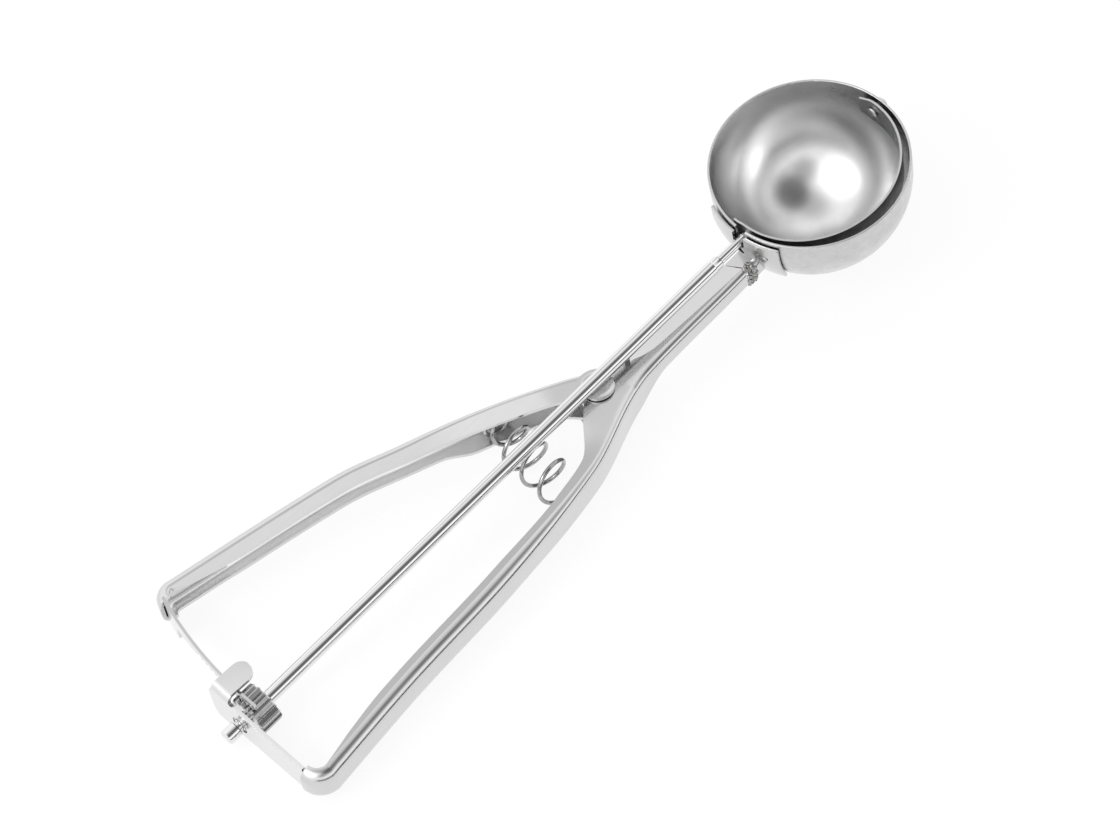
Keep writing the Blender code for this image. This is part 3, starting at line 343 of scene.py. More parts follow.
def steps(first, last, count):
    """Evenly spaced values from first to last, both included."""
    return [first + (last - first) * i / (count - 1) for i in range(count)]


def in_mm(table):
    """A table of pairs, from millimetres to metres."""
    return [(first * MM, second * MM) for first, second in table]


def curve_through(knots):
    """A function y(x) that passes smoothly through a few knots and never overshoots them."""
    knots = sorted(knots)
    xs = [x for x, _ in knots]
    ys = [y for _, y in knots]
    rises = [(ys[i + 1] - ys[i]) / (xs[i + 1] - xs[i]) for i in range(len(xs) - 1)]
    slopes = [rises[0]]
    for before, after in zip(rises, rises[1:]):
        slopes.append(2 * before * after / (before + after) if before * after > 0 else 0.0)
    slopes.append(rises[-1])

    def value(x):
        x = min(xs[-1], max(xs[0], x))
        i = max(k for k in range(len(xs) - 1) if xs[k] <= x or k == 0)
        span = xs[i + 1] - xs[i]
        t = (x - xs[i]) / span
        rise = ys[i + 1] - ys[i]
        start = slopes[i] * span
        end = slopes[i + 1] * span
        return ys[i] + start * t + (3 * rise - 2 * start - end) * t * t + (start + end - 2 * rise) * t**3

    return value


def channel_row(web, inward, edges, ridge, corner, top, bottom, lip_drop=0.0, roll=0.0, deep=0.0):
    """Points across a C channel, from the edge of its top flange round the web to its bottom edge."""
    top_edge, bottom_edge = edges
    arc = steps(0.0, math.pi / 2, 9)
    row = []
    middle = top_edge.lerp(ridge, 0.5)
    beside_bend = ridge.lerp(web + inward * corner, 0.85)
    for point, drop in ((top_edge, lip_drop), (middle, lip_drop / 2), (ridge, 0.0), (beside_bend, 0.0)):
        sunk = drop + roll * (point - web - inward * corner).length
        row.append(Vector((*point, top - sunk)))
    for turn in arc:
        point = web + inward * corner * (1 - math.sin(turn))
        row.append(Vector((*point, top - corner * (1 - math.cos(turn)))))
    corner += deep
    for turn in reversed(arc):
        point = web + inward * corner * (1 - math.sin(turn))
        row.append(Vector((*point, bottom + corner * (1 - math.cos(turn)))))
    floor_ridge = bottom_edge.lerp(web + inward * corner, 0.5)
    row.append(Vector((*floor_ridge, bottom)))
    row.append(Vector((*bottom_edge, bottom)))
    return row


def formed_sheet(rows, outside):
    """A grid laid over rows of points, like sheet pressed over a former, facing outside."""
    deselect()
    across = len(rows[0])
    bpy.ops.mesh.primitive_grid_add(x_subdivisions=across - 1, y_subdivisions=len(rows) - 1, size=1)
    piece = bpy.context.object
    for j, row in enumerate(rows):
        for i, point in enumerate(row):
            piece.data.vertices[j * across + i].co = point
    piece.data.update()
    middle = piece.data.polygons[(across - 1) // 2]
    if middle.normal.dot(outside) < 0:
        bpy.ops.object.mode_set(mode="EDIT")
        bpy.ops.mesh.select_all(action="SELECT")
        bpy.ops.mesh.flip_normals()
        bpy.ops.object.mode_set(mode="OBJECT")
    return piece


# How far the frame's web stands from the hinge line, and how round its bend is, at each x.
frame_spread = curve_through(
    in_mm([(-114.2, 28.5), (-84.0, 24.7), (-52.6, 22.0), (-17.3, 16.0), (12.0, 6.6), (47.2, 5.4)])
)
frame_corner = curve_through(
    in_mm([(-114.2, 3.0), (-52.6, 3.0), (-17.3, 1.7), (0.0, 1.7), (12.0, 1.8), (47.2, 1.8)])
)


def crest(x):
    """Height of the frame's top face: level to the hinge, then climbing with the rod."""
    climb = max(0.0, x - EAR_RADIUS) * math.tan(ROD_TILT)
    dip = 0.9 * MM * smooth_step((x - NECK_START_X) / (NECK_END_X - NECK_START_X))
    return GRIP_TOP + climb - dip


def keel(x):
    """Height of the frame's underside: level past the hinge, then drawn up to the neck."""
    rise = smooth_step((x - EAR_RADIUS) / (11.4 * MM))
    return GRIP_FOOT + (crest(x) - NECK_DEPTH - GRIP_FOOT) * rise


# The line that the neck's lip is folded on.
fold_line = curve_through(in_mm([(7.6, -0.6), (10.6, -0.8), (14.0, -2.1), (18.0, -2.8), (47.2, -3.5)]))


def neck_row(x):
    """The neck's section: web, flat top, lip folded down on the open side, and narrow floor."""
    web = Vector((x, -frame_spread(x)))
    lip = smooth_step((x - 9.4 * MM) / (1.8 * MM))
    fold = fold_line(x)
    drop = lip * (LIP_EDGE_Y - fold) * math.tan(LIP_SLOPE)
    edges = (Vector((x, LIP_EDGE_Y)), Vector((x, 0.8 * MM)))
    ridge = Vector((x, fold))
    return channel_row(web, Vector((0, 1)), edges, ridge, frame_corner(x), crest(x), keel(x), drop)


inner = BOWL_RADIUS + FIT_GAP
rows = []
for turn in steps(-BRACKET_TURN, BRACKET_TURN, 41):
    row = []
    for height in steps(BRACKET_TOP, BRACKET_FOOT, 33):
        reach = math.sqrt(inner**2 - min(height, 0.0) ** 2)
        row.append(Vector((BOWL_X - reach * math.cos(turn), reach * math.sin(turn), height)))
    rows.append(row)
bracket = formed_sheet(rows, Vector((-1, 0, 0)))
modify(bracket, "SOLIDIFY", thickness=BRACKET_SHEET, offset=1, use_even_offset=True)
soften(bracket, 0.16 * MM)
back = BOWL_X - inner - BRACKET_SHEET
front, rear = back - 0.6 * MM, back + 3 * MM
cut_slot(bracket, half=1.75 * MM, foot=1.1 * MM, slit=0.55 * MM, near=front, far=rear)
to_rod_line(bracket)
to_line = Matrix.Translation((0, 0, ROD_HEIGHT)) @ Matrix.Rotation(-ROD_TILT, 4, "Y")
near = [point + Vector((FIT_GAP, 0, 0)) for point in neck_row(NECK_END_X)]
far = []
for point in neck_row(NECK_END_X):
    local = to_line.inverted() @ point
    middle = inner + 0.5 * MM
    local.x = BOWL_X - math.sqrt(middle**2 - local.y**2 - local.z**2)
    far.append(to_line @ local)
collar_rows = [[a.lerp(b, share) for a, b in zip(near, far)] for share in (0, 0.33, 0.66, 1)]
collar = formed_sheet(collar_rows, Vector((0, -1, 0)))
modify(collar, "SOLIDIFY", thickness=SHEET, offset=-1, use_even_offset=True)
settle(collar, "neck_collar")
# A spot weld leaves a shallow dent in the plate beside the neck.
turn = math.radians(-17)
reach = inner + 2.3 * MM
deselect()
bpy.ops.mesh.primitive_uv_sphere_add(
    segments=32,
    ring_count=16,
    radius=1.6 * MM,
    location=(BOWL_X - reach * math.cos(turn), reach * math.sin(turn), -1.6 * MM),
)
dent = bpy.context.object
to_rod_line(dent)
cut(bracket, dent)
settle(bracket, "bowl_bracket")


def wire(points, radii, thickness, resolution):
    """A round wire, or a bead of metal of changing thickness, along a line of points."""
    deselect()
    bpy.ops.curve.primitive_nurbs_path_add()
    piece = bpy.context.object
    piece.data.splines.clear()
    path = piece.data.splines.new("POLY")
    path.points.add(len(points) - 1)
    for slot, point, radius in zip(path.points, points, radii):
        slot.co = (*point, 1.0)
        slot.radius = radius
    piece.data.bevel_depth = thickness / 2
    piece.data.bevel_resolution = resolution
    piece.data.use_fill_caps = True
    pick(piece)
    bpy.ops.object.convert(target="MESH")
    return bpy.context.object


# Two ragged weld passes between neck and collar: metal laid in small drops, half sunk in the sheet.
DROP_SPACING = 0.22 * MM
beads = []
for number, shift in enumerate((0.5 * MM, 2.0 * MM)):
    bead_line = neck_row(NECK_END_X + shift)
    core = sum(bead_line, Vector()) / len(bead_line)
    drops = []
    for start, end in zip(bead_line[2:-2], bead_line[3:-1]):
        count = max(1, round((end - start).length / DROP_SPACING))
        drops += [start.lerp(end, i / count) for i in range(count)]
    line = []
    radii = []
    for place, point in enumerate(drops):
        beat = place + 3.7 * number
        ripple = abs(math.sin(beat * 0.47)) * (0.8 + 0.5 * math.sin(beat * 1.7))
        sway = Vector((0.35 * MM * math.sin(beat * 0.9), 0, 0))
        sink = (core - point).normalized() * 0.1 * MM
        line.append(point + sink + sway)
        radii.append(0.9 + 0.8 * ripple)
    beads.append(wire(line, radii, thickness=1.0 * MM, resolution=3))
deselect()
for bead in beads:
    bead.select_set(True)
bpy.context.view_layer.objects.active = beads[0]
bpy.ops.object.join()
bead = settle(beads[0], "neck_weld_bead", 60)
WARM_GREY = (0.7, 0.69, 0.68, 1.0)
WELD_METAL = steel(
    "weld_metal", WARM_GREY, grey(0.05), (0.15, 0.4), (1500.0, 1500.0), smudge=1600.0, relief=0.03
)
BRACKET_STEEL = steel(
    "bracket_steel", grey(0.6), grey(0.5), (0.18, 0.3), (500.0, 1200.0), smudge=110.0
)
dress(bracket, BRACKET_STEEL, "frame", "bracket_steel", "saddle_bracket")
dress(collar, BRACKET_STEEL, "frame", "bracket_steel")
dress(bead, WELD_METAL, "frame", "bracket_steel")


# Handle frame: neck, hinge ears and fixed grip pressed from one 1 mm sheet as a channel that opens
# towards the lever. It is brushed and polished outside and keeps its mill finish inside. The neck
# has a folded lip that starts at a short relief slit, and its end is welded.
FRAME_SWEEP_X = -29.3 * MM
FRAME_SEAT_X = -24.5 * MM
RIVET_HOLE_RADIUS = 2.5 * MM
RIVET_TOP = 12.4 * MM
MIDDLE_HEIGHT = 6.2 * MM
WORN_EDGE = 0.14 * MM
FLOOR_REST = 0.3 * MM
frame_flange = curve_through(
    in_mm([(-114.2, 3.1), (-104.0, 4.2), (-92.0, 4.8), (-52.6, 4.8), (-29.3, 4.0), (-17.3, 4.4)])
)


def roll_of(x):
    """Slope of a grip's top flange towards its edge, which starts behind the hinge."""
    return math.tan(math.radians(5.5)) * smooth_step((-x - 7 * MM) / (9 * MM))


def deepen(x):
    """How much rounder a grip is below than above: nothing near the hinge, 0.6 mm along the grip."""
    return 0.6 * MM * smooth_step((-x - 30 * MM) / (16 * MM))


def end_rows(end_x, spread, side, radius, flange, corner, top, bottom):
    """Rows that carry a grip's channel round the quarter turn at its end."""
    rows = []
    centre = Vector((end_x, side * (spread - radius)))
    for turn in steps(0.0, math.pi / 2, 15)[1:]:
        out = Vector((-math.sin(turn), side * math.cos(turn)))
        web = centre + out * radius
        edge = web - out * flange
        ridge = edge.lerp(web - out * corner, 0.6)
        edges = (edge, web - out * (corner + deepen(end_x) + FLOOR_REST))
        rows.append(
            channel_row(
                web, -out, edges, ridge, corner, top, bottom, roll=roll_of(end_x), deep=deepen(end_x)
            )
        )
    return rows


def ear_edge(radius, first, last, count):
    """Points along an ear's round edge about the hinge, between two angles in degrees."""
    turns = steps(math.radians(first), math.radians(last), count)
    return [Vector((math.cos(turn), math.sin(turn))) * radius for turn in turns]


def ear_row(x, edge, side, spread, top, foot):
    """A section near the hinge, where both flanges reach from the web to the same edge."""
    inward = Vector((0, -side))
    web = Vector((x, side * spread))
    corner = frame_corner(x)
    ridge = edge.lerp(web + inward * corner, 0.5)
    return channel_row(web, inward, (edge, edge), ridge, corner, top, foot, roll=roll_of(x))


def grip_row(x, side, spread, flange, top, foot, trimmed=1.0):
    """A section along a grip: its floor is trimmed by a share, but stays wider than its bend."""
    inward = Vector((0, -side))
    web = Vector((x, side * spread))
    edge = web + inward * flange
    corner = min(frame_corner(x), flange - 0.2 * MM)
    ridge = edge.lerp(web + inward * corner, 0.6)
    floor = max((edge - web).length * trimmed, corner + deepen(x) + FLOOR_REST)
    edges = (edge, web + inward * floor)
    return channel_row(web, inward, edges, ridge, corner, top, foot, roll=roll_of(x), deep=deepen(x))


def frame_rows():
    """Rows of the fixed grip's sheet from the end of the neck, past the ears, round the grip's end."""
    lip_x = 14 * MM
    along_neck = steps(NECK_END_X, lip_x, 24) + steps(lip_x, NECK_ROOT_X, 18)[1:]
    rows = [neck_row(x) for x in along_neck]
    ear = ear_edge(EAR_RADIUS, 38, 188, 31)
    last = ear[-1]
    start = FRAME_SWEEP_X
    sweep = curve_through(
        [
            (start, -(frame_spread(start) - 4.0 * MM)),
            (-17.3 * MM, -11.6 * MM),
            (last.x - 3.0 * MM, last.y - 2.6 * MM),
            (last.x, last.y),
        ]
    )
    edges = ear + [Vector((x, sweep(x))) for x in steps(last.x, start, 22)[1:]]
    ahead, behind = 6.0 * MM, 0.8 * last.x
    web_x = steps(ahead, behind, len(ear)) + steps(behind, start, 22)[1:]
    for x, edge in zip(web_x, edges):
        rows.append(ear_row(x, edge, -1, frame_spread(x), crest(x), keel(x)))
    for x in steps(start, GRIP_END_X, 50)[1:]:
        rows.append(grip_row(x, -1, frame_spread(x), frame_flange(x), GRIP_TOP, GRIP_FOOT))
    rows += end_rows(
        GRIP_END_X,
        spread=28.5 * MM,
        side=-1,
        radius=6.0 * MM,
        flange=3.1 * MM,
        corner=3.0 * MM,
        top=GRIP_TOP,
        bottom=GRIP_FOOT,
    )
    return rows


def seat_point(x, spread, side):
    """Where a spring seat stands on a grip's web, and the direction that it points in."""
    tiny = 0.5 * MM
    slope = (spread(x + tiny) - spread(x - tiny)) / (2 * tiny)
    place = Vector((x, side * spread(x), MIDDLE_HEIGHT))
    return place, Vector((side * slope, -side, 0)).normalized()


def add_spring_seat(grip, x, spread, side):
    """Presses a spring seat out of a grip's web: a closed cup on its inner face."""
    place, inward = seat_point(x, spread, side)
    foot = 0.72 * MM
    rise = 3.4 * MM
    cup = bar(1.9 * MM, place + inward * foot, place + inward * rise)
    soften(cup, 0.3 * MM, segments=3)
    cut(grip, cup, "UNION")


def drill_for_rivet(grip):
    """Drills the rivet's hole through both ears of a grip."""
    cut(grip, bar(RIVET_HOLE_RADIUS, Vector((0, 0, 0)), Vector((0, 0, RIVET_TOP))))


handle = formed_sheet(frame_rows(), Vector((0, -1, 0)))
thicken(handle, SHEET)
soften(handle, WORN_EDGE)
add_spring_seat(handle, FRAME_SEAT_X, frame_spread, -1)
drill_for_rivet(handle)
slit_low = Vector((8.6, -0.85, 9.0)) * MM
slit_high = Vector((10.3, 0.2, 13.0)) * MM
cut(handle, block(slit_low, slit_high))
settle(handle, "fixed_grip")
BRUSHED_GRIP = steel(
    "brushed_grip_steel", grey(0.64), grey(0.56), (0.15, 0.24), (45.0, 2200.0), smudge=70.0, relief=0.003
)
MILL_FINISH = steel(
    "mill_finish_steel", grey(0.86), grey(0.78), (0.26, 0.36), (300.0, 900.0), smudge=80.0, relief=0.003
)
dress(handle, BRUSHED_GRIP, "frame", "grip_steel", "handle_frame", inner=MILL_FINISH)


# End plate: a 1 mm strip spot-welded inside the fixed grip's end. Its plate carries the end of the
# rod, and its tongue is bent forward over the rack to hold the rack down on the pinion.
PLATE_X = -118.4 * MM
ROD_AT_PLATE = ROD_HEIGHT + PLATE_X * math.tan(ROD_TILT)
PLATE_TOP = ROD_AT_PLATE + 6.6 * MM
PLATE_FOOT = ROD_AT_PLATE - 6.3 * MM
PLATE_EDGE_Y = 9.4 * MM
TONGUE_SIDES = (2.4 * MM, 8.2 * MM)
TONGUE_FLAT = 13.97 * MM
WRAP_Y = -22.5 * MM
LEG_FOOT = 3.4 * MM
LEG_TOP = 9.0 * MM
LEG_LENGTH = 20 * MM
LOW_ROUND = 5.4 * MM
HIGH_ROUND = 1.1 * MM
TAPER = 1.0 * MM
QUARTER_TURN_STEPS = 9

deselect()
bpy.ops.mesh.primitive_plane_add(size=1)
plate = bpy.context.object
bpy.ops.object.mode_set(mode="EDIT")
corners = {
    (-1, -1): (PLATE_X, WRAP_Y + FIT_GAP, PLATE_FOOT + TAPER),
    (1, -1): (PLATE_X, PLATE_EDGE_Y, PLATE_FOOT),
    (1, 1): (PLATE_X, PLATE_EDGE_Y, PLATE_TOP),
    (-1, 1): (PLATE_X, WRAP_Y + FIT_GAP, PLATE_TOP - TAPER),
}
mesh = bmesh.from_edit_mesh(plate.data)
for vert in mesh.verts:
    vert.co = corners[(round(vert.co.x * 2), round(vert.co.y * 2))]
bmesh.update_edit_mesh(plate.data)
# The lower outer corner is cut to a wide round, and the upper one to a small one.
select_where(plate, "VERT", lambda at, vert: at.y > 9 * MM and at.z < ROD_AT_PLATE)
bpy.ops.mesh.bevel(offset=LOW_ROUND, segments=14, affect="VERTICES")
select_where(plate, "VERT", lambda at, vert: at.y > 9 * MM and at.z > ROD_AT_PLATE + 4 * MM)
bpy.ops.mesh.bevel(offset=HIGH_ROUND, segments=5, affect="VERTICES")
for y in TONGUE_SIDES:
    bpy.ops.mesh.select_all(action="SELECT")
    bpy.ops.mesh.bisect(plane_co=(0, y, 0), plane_no=(0, 1, 0))
for z in (LEG_FOOT, LEG_TOP):
    bpy.ops.mesh.select_all(action="SELECT")
    bpy.ops.mesh.bisect(plane_co=(0, 0, z), plane_no=(0, 0, 1))


def bend_on(axis, centre):
    """Draws the selected edges round a bend of a quarter turn, ten degrees at a time."""
    for _ in range(QUARTER_TURN_STEPS):
        draw_on(0, 0, 0)
        bpy.ops.transform.rotate(value=math.radians(-10), orient_axis=axis, center_override=centre)


# The tongue is drawn up from the top edge and bent forward.
left, right = TONGUE_SIDES
select_where(
    plate,
    "EDGE",
    lambda at, edge: edge.is_boundary and left < at.y < right and at.z > ROD_AT_PLATE + 5 * MM,
)
bend = 1.5 * MM
flat_length = 5.2 * MM
tip_length = 2.9 * MM
draw_on(0, 0, TONGUE_FLAT - bend - PLATE_TOP)
bend_on("Y", (PLATE_X + bend, 0, TONGUE_FLAT - bend))
draw_on(flat_length, 0, 0)
tip_turns = steps(0, math.radians(78), 9)
for turn_from, turn_to in zip(tip_turns, tip_turns[1:]):
    draw_on(tip_length * (math.sin(turn_to) - math.sin(turn_from)), 0, 0)
    narrower = math.cos(turn_to) / math.cos(turn_from)
    bpy.ops.transform.resize(value=(1, narrower, 1), center_override=(0, (left + right) / 2, 0))
# The leg turns the corner inside the grip's end and lies along its web.
select_where(
    plate,
    "EDGE",
    lambda at, edge: edge.is_boundary and at.y < WRAP_Y + 1.1 * FIT_GAP and LEG_FOOT < at.z < LEG_TOP,
)
draw_on(0, -FIT_GAP, 0)
bend_on("Z", (GRIP_END_X, WRAP_Y, 0))
leg_x = steps(GRIP_END_X, GRIP_END_X + LEG_LENGTH, 9)
for x_from, x_to in zip(leg_x, leg_x[1:]):
    draw_on(x_to - x_from, frame_spread(x_from) - frame_spread(x_to), 0)


def close_mesh():
    """Turns all faces of the mesh that is being shaped outwards, and ends the shaping."""
    bpy.ops.mesh.select_all(action="SELECT")
    bpy.ops.mesh.normals_make_consistent(inside=False)
    bpy.ops.object.mode_set(mode="OBJECT")


close_mesh()
modify(plate, "SOLIDIFY", thickness=SHEET, offset=0, use_even_offset=True)
soften(plate, WORN_EDGE)
through = Vector((2 * MM, 0, 2 * MM * math.tan(ROD_TILT)))
rod_place = Vector((PLATE_X, 0, ROD_AT_PLATE))
cut(plate, bar(2.4 * MM, rod_place - through, rod_place + through))
settle(plate, "rod_end_plate")
PLATE_STEEL = steel(
    "plate_steel", grey(0.7), grey(0.64), (0.12, 0.2), (1800.0, 60.0), smudge=80.0, relief=0.004
)
dress(plate, PLATE_STEEL, "frame", "grip_steel", "end_plate")


# Hinge rivet: a stainless rivet through the ears of both grips, with a flat head below and a
# flat head with a soft edge above, a little domed by the rivet set.


def lathe(profile):
    """A closed bar along X, drawn out ring by ring from (distance along, radius) in mm."""
    profile = in_mm(profile)
    deselect()
    here, radius = profile[0]
    bpy.ops.mesh.primitive_circle_add(
        vertices=64, radius=radius, fill_type="NGON", location=(here, 0, 0), rotation=(0, math.pi / 2, 0)
    )
    piece = bpy.context.object
    fix_place(piece)
    bpy.ops.object.mode_set(mode="EDIT")
    bpy.ops.mesh.select_mode(type="EDGE")
    bpy.ops.mesh.select_all(action="SELECT")
    for there, wide in profile[1:]:
        bpy.ops.mesh.extrude_region_move(TRANSFORM_OT_translate={"value": (there - here, 0, 0)})
        scale = wide / radius
        bpy.ops.transform.resize(value=(1, scale, scale), center_override=(there, 0, 0))
        here, radius = there, wide
    close_mesh()
    return piece


low_head = [(0.0, 3.9), (0.12, 4.15), (0.3, 4.2), (0.9, 4.2)]
shank = [(0.9, 2.3), (11.5, 2.3)]
top_head = [(11.5, 4.15), (11.6, 4.2), (12.0, 4.2), (12.2, 4.1), (12.32, 3.8)]
dome = [(12.37, 3.0), (12.39, 1.6), (12.4, 0.5)]
rivet = lathe(low_head + shank + top_head + dome)
rivet.rotation_euler = (0, -math.pi / 2, 0)
settle(rivet, "hinge_rivet")
RIVET_STEEL = steel(
    "rivet_steel", grey(0.66), grey(0.56), (0.16, 0.28), (900.0, 900.0), smudge=200.0, relief=0.004
)
dress(rivet, RIVET_STEEL, "frame", "rivet_steel", "pivot_rivet")


# Lever: the moving grip, pressed from 1 mm sheet like the frame and nested between its ears. Here
# it is drawn as it lies when squeezed, and then swung open by 7.5 degrees about the rivet.
LEVER_OPENING = math.radians(7.5)
LEVER_EAR = 5.2 * MM
LEVER_TIP_X = 4.3 * MM
LEVER_SWEEP_X = -24.6 * MM
LEVER_SEAT_X = -22.8 * MM
LEVER_END_RADIUS = 5.0 * MM
FLOOR_TRIM = 0.34
RACK_RADIUS = 115.2 * MM
RACK_LEG_Y = 20.8 * MM
STRIP_SHEET = 0.7 * MM
lever_spread = curve_through(
    in_mm([(-114.2, 25.8), (-63.4, 23.4), (-44.3, 19.6), (-24.6, 15.0), (-5.0, 9.1), (4.3, 4.9)])
)
lever_flange = curve_through(
    in_mm([(-114.2, 3.4), (-102.0, 5.4), (-90.0, 6.2), (-44.3, 6.2), (-24.6, 6.4)])
)
# The lever ends where its inner face clears the rack's leg, which leaves the arc at RACK_LEG_Y.
leg_start_x = -math.sqrt((RACK_RADIUS + STRIP_SHEET / 2) ** 2 - RACK_LEG_Y**2)
LEVER_END_X = leg_start_x - FIT_GAP - SHEET + LEVER_END_RADIUS


def swing_open(piece):
    """Turns a piece that was made in the squeezed position about the rivet to its rest position."""
    fix_place(piece)
    piece.rotation_euler = (0, 0, -LEVER_OPENING)
    fix_place(piece)


def lever_height(x):
    """Underside and top of the lever where its flange reaches x."""
    flare = smooth_step((-x - EAR_RADIUS) / (34 * MM))
    return 2.5 * MM - 1.3 * MM * flare, 9.9 * MM + 1.3 * MM * flare


def lever_rows():
    """Rows of the lever's sheet from its tip past the hinge, along the grip and round its end."""
    rows = []
    start = LEVER_SWEEP_X
    edges = ear_edge(LEVER_EAR, 6, -180, 33)
    behind = -0.7 * LEVER_EAR
    web_x = steps(LEVER_TIP_X, behind, len(edges)) + steps(behind, start, 44)[1:]
    seat_edge = lever_spread(start) - lever_flange(start)
    sweep = curve_through([(start, seat_edge), (-9.2 * MM, 3.6 * MM), (-LEVER_EAR, 0.0)])
    edges += [Vector((x, sweep(x))) for x in steps(-LEVER_EAR, start, 44)[1:]]
    for x, edge in zip(web_x, edges):
        low, high = lever_height(edge.x)
        rows.append(ear_row(x, edge, 1, lever_spread(x), high, low))
    for x in steps(start, LEVER_END_X, 50)[1:]:
        low, high = lever_height(x)
        trimmed = 1 - FLOOR_TRIM * smooth_step((-x - 30 * MM) / (8 * MM))
        rows.append(grip_row(x, 1, lever_spread(x), lever_flange(x), high, low, trimmed))
    low, high = lever_height(LEVER_END_X)
    rows += end_rows(
        LEVER_END_X,
        spread=lever_spread(LEVER_END_X),
        side=1,
        radius=LEVER_END_RADIUS,
        flange=3.4 * MM,
        corner=3.0 * MM,
        top=high,
        bottom=low,
    )
    return rows


lever = formed_sheet(lever_rows(), Vector((0, 1, 0)))
thicken(lever, SHEET)
soften(lever, WORN_EDGE)
add_spring_seat(lever, LEVER_SEAT_X, lever_spread, 1)
drill_for_rivet(lever)
swing_open(lever)
settle(lever, "squeeze_lever")
POLISHED_GRIP = steel(
    "polished_grip_steel", grey(0.64), grey(0.59), (0.14, 0.22), (45.0, 2200.0), smudge=70.0, relief=0.004
)
dress(lever, POLISHED_GRIP, "lever", "grip_steel", "lever", inner=MILL_FINISH)


# Rack: a 0.7 mm strip bent to an arc about the hinge, with teeth punched in its lower edge, a
# rounded shoulder, and a leg that is spot-welded inside the lever's end.
TOOTH_MODULE = 0.6 * MM
BACKLASH = 0.3 * MM
PITCH = math.pi * TOOTH_MODULE / RACK_RADIUS
RACK_TIP = 10.02 * MM
RACK_ROOT = 11.25 * MM
RACK_DEPTH = 3.1 * MM
RACK_ARM_DEPTH = 6.2 * MM
RACK_TOP = RACK_TIP + RACK_DEPTH
SHOULDER_RADIUS = 2.8 * MM
SHOULDER_DEPTH = 12.6 * MM
RACK_LEG_LENGTH = 15 * MM


def rack_outline():
    """(angle past the pinion, underside height) along the rack, from its free end to its shoulder."""
    tooth = PITCH / 2 - BACKLASH / RACK_RADIUS
    flank = 0.21 * MM / RACK_RADIUS
    soft = 0.07 * MM
    outline = [(-1.5 * PITCH, RACK_ROOT)]
    for number in range(-1, 10):
        middle = number * PITCH
        left = middle - tooth / 2
        right = middle + tooth / 2
        outline += [
            (left - flank, RACK_ROOT),
            (left + 0.6 * flank, RACK_TIP + soft),
            (left + 1.3 * flank, RACK_TIP),
            (right - 1.3 * flank, RACK_TIP),
            (right - 0.6 * flank, RACK_TIP + soft),
            (right + flank, RACK_ROOT),
        ]
    teeth_end = 10 * PITCH - tooth / 2
    leave = math.asin(RACK_LEG_Y / RACK_RADIUS) + LEVER_OPENING
    shoulder_end = leave - 2 * FIT_GAP / RACK_RADIUS
    shoulder_start = shoulder_end - 2 * SHOULDER_RADIUS / RACK_RADIUS
    outline += [(teeth_end - flank, RACK_ROOT), (teeth_end + flank, RACK_TIP)]
    for share in steps(0, 1, 6)[1:]:
        angle = teeth_end + flank + (shoulder_start - teeth_end - flank) * share
        outline.append((angle, RACK_TIP - (RACK_ARM_DEPTH - RACK_DEPTH) * share))
    for turn in steps(math.radians(8), math.pi, 15):
        angle = shoulder_start + SHOULDER_RADIUS * (1 - math.cos(turn)) / RACK_RADIUS
        outline.append((angle, RACK_TOP - SHOULDER_DEPTH + SHOULDER_RADIUS * (1 - math.sin(turn))))
    return outline


deselect()
outline = rack_outline()
first_angle, first_low = outline[0]
bpy.ops.mesh.primitive_plane_add(size=1)
rack = bpy.context.object
bpy.ops.object.mode_set(mode="EDIT")
turn = math.pi - first_angle + LEVER_OPENING
mesh = bmesh.from_edit_mesh(rack.data)
bmesh.ops.delete(mesh, geom=list(mesh.verts), context="VERTS")
start_ring = Vector((RACK_RADIUS * math.cos(turn), RACK_RADIUS * math.sin(turn), 0))
upper = mesh.verts.new(start_ring + Vector((0, 0, RACK_TOP)))
lower = mesh.verts.new(start_ring + Vector((0, 0, first_low)))
mesh.edges.new((upper, lower)).select_set(True)
bmesh.update_edit_mesh(rack.data)
bpy.ops.mesh.select_mode(type="EDGE")


def step_strip(turn_by, centre, lift=0.0):
    """Draws the strip's end edge on by one step about a centre, and moves its lower end up or down."""
    draw_on(0, 0, 0)
    if turn_by:
        bpy.ops.transform.rotate(value=turn_by, orient_axis="Z", center_override=centre)
    mesh = bmesh.from_edit_mesh(rack.data)
    lower = min((vert for vert in mesh.verts if vert.select), key=lambda vert: vert.co.z)
    lower.co.z += lift
    bmesh.update_edit_mesh(rack.data)


for (angle, low), (next_angle, next_low) in zip(outline, outline[1:]):
    step_strip(next_angle - angle, (0, 0, 0), next_low - low)
# The leg is narrower than the shoulder: it starts from a shorter edge of the strip's end.
for z in (LEG_FOOT, LEG_TOP):
    bpy.ops.mesh.select_all(action="SELECT")
    bpy.ops.mesh.bisect(plane_co=(0, 0, z), plane_no=(0, 0, 1))
last_turn = math.pi - outline[-1][0] + LEVER_OPENING
last_x = RACK_RADIUS * math.cos(last_turn)
last_y = RACK_RADIUS * math.sin(last_turn)
last_place = Vector((last_x, last_y, MIDDLE_HEIGHT))
select_where(rack, "EDGE", lambda at, edge: edge.is_boundary and (at - last_place).length < MM)
leg_radius = LEVER_END_RADIUS - SHEET - FIT_GAP - STRIP_SHEET / 2
leg_centre = Vector((LEVER_END_X, lever_spread(LEVER_END_X) - LEVER_END_RADIUS, 0))
to_bend = leg_centre + Vector((-leg_radius, 0, 0)) - last_place
draw_on(to_bend.x, to_bend.y, 0)
for _ in range(QUARTER_TURN_STEPS):
    step_strip(math.radians(10), leg_centre)
leg_x = steps(LEVER_END_X, LEVER_END_X + RACK_LEG_LENGTH, 9)
for x_from, x_to in zip(leg_x, leg_x[1:]):
    draw_on(x_to - x_from, lever_spread(x_to) - lever_spread(x_from), 0)
close_mesh()
modify(rack, "SOLIDIFY", thickness=STRIP_SHEET, offset=0, use_even_offset=True)
swing_open(rack)
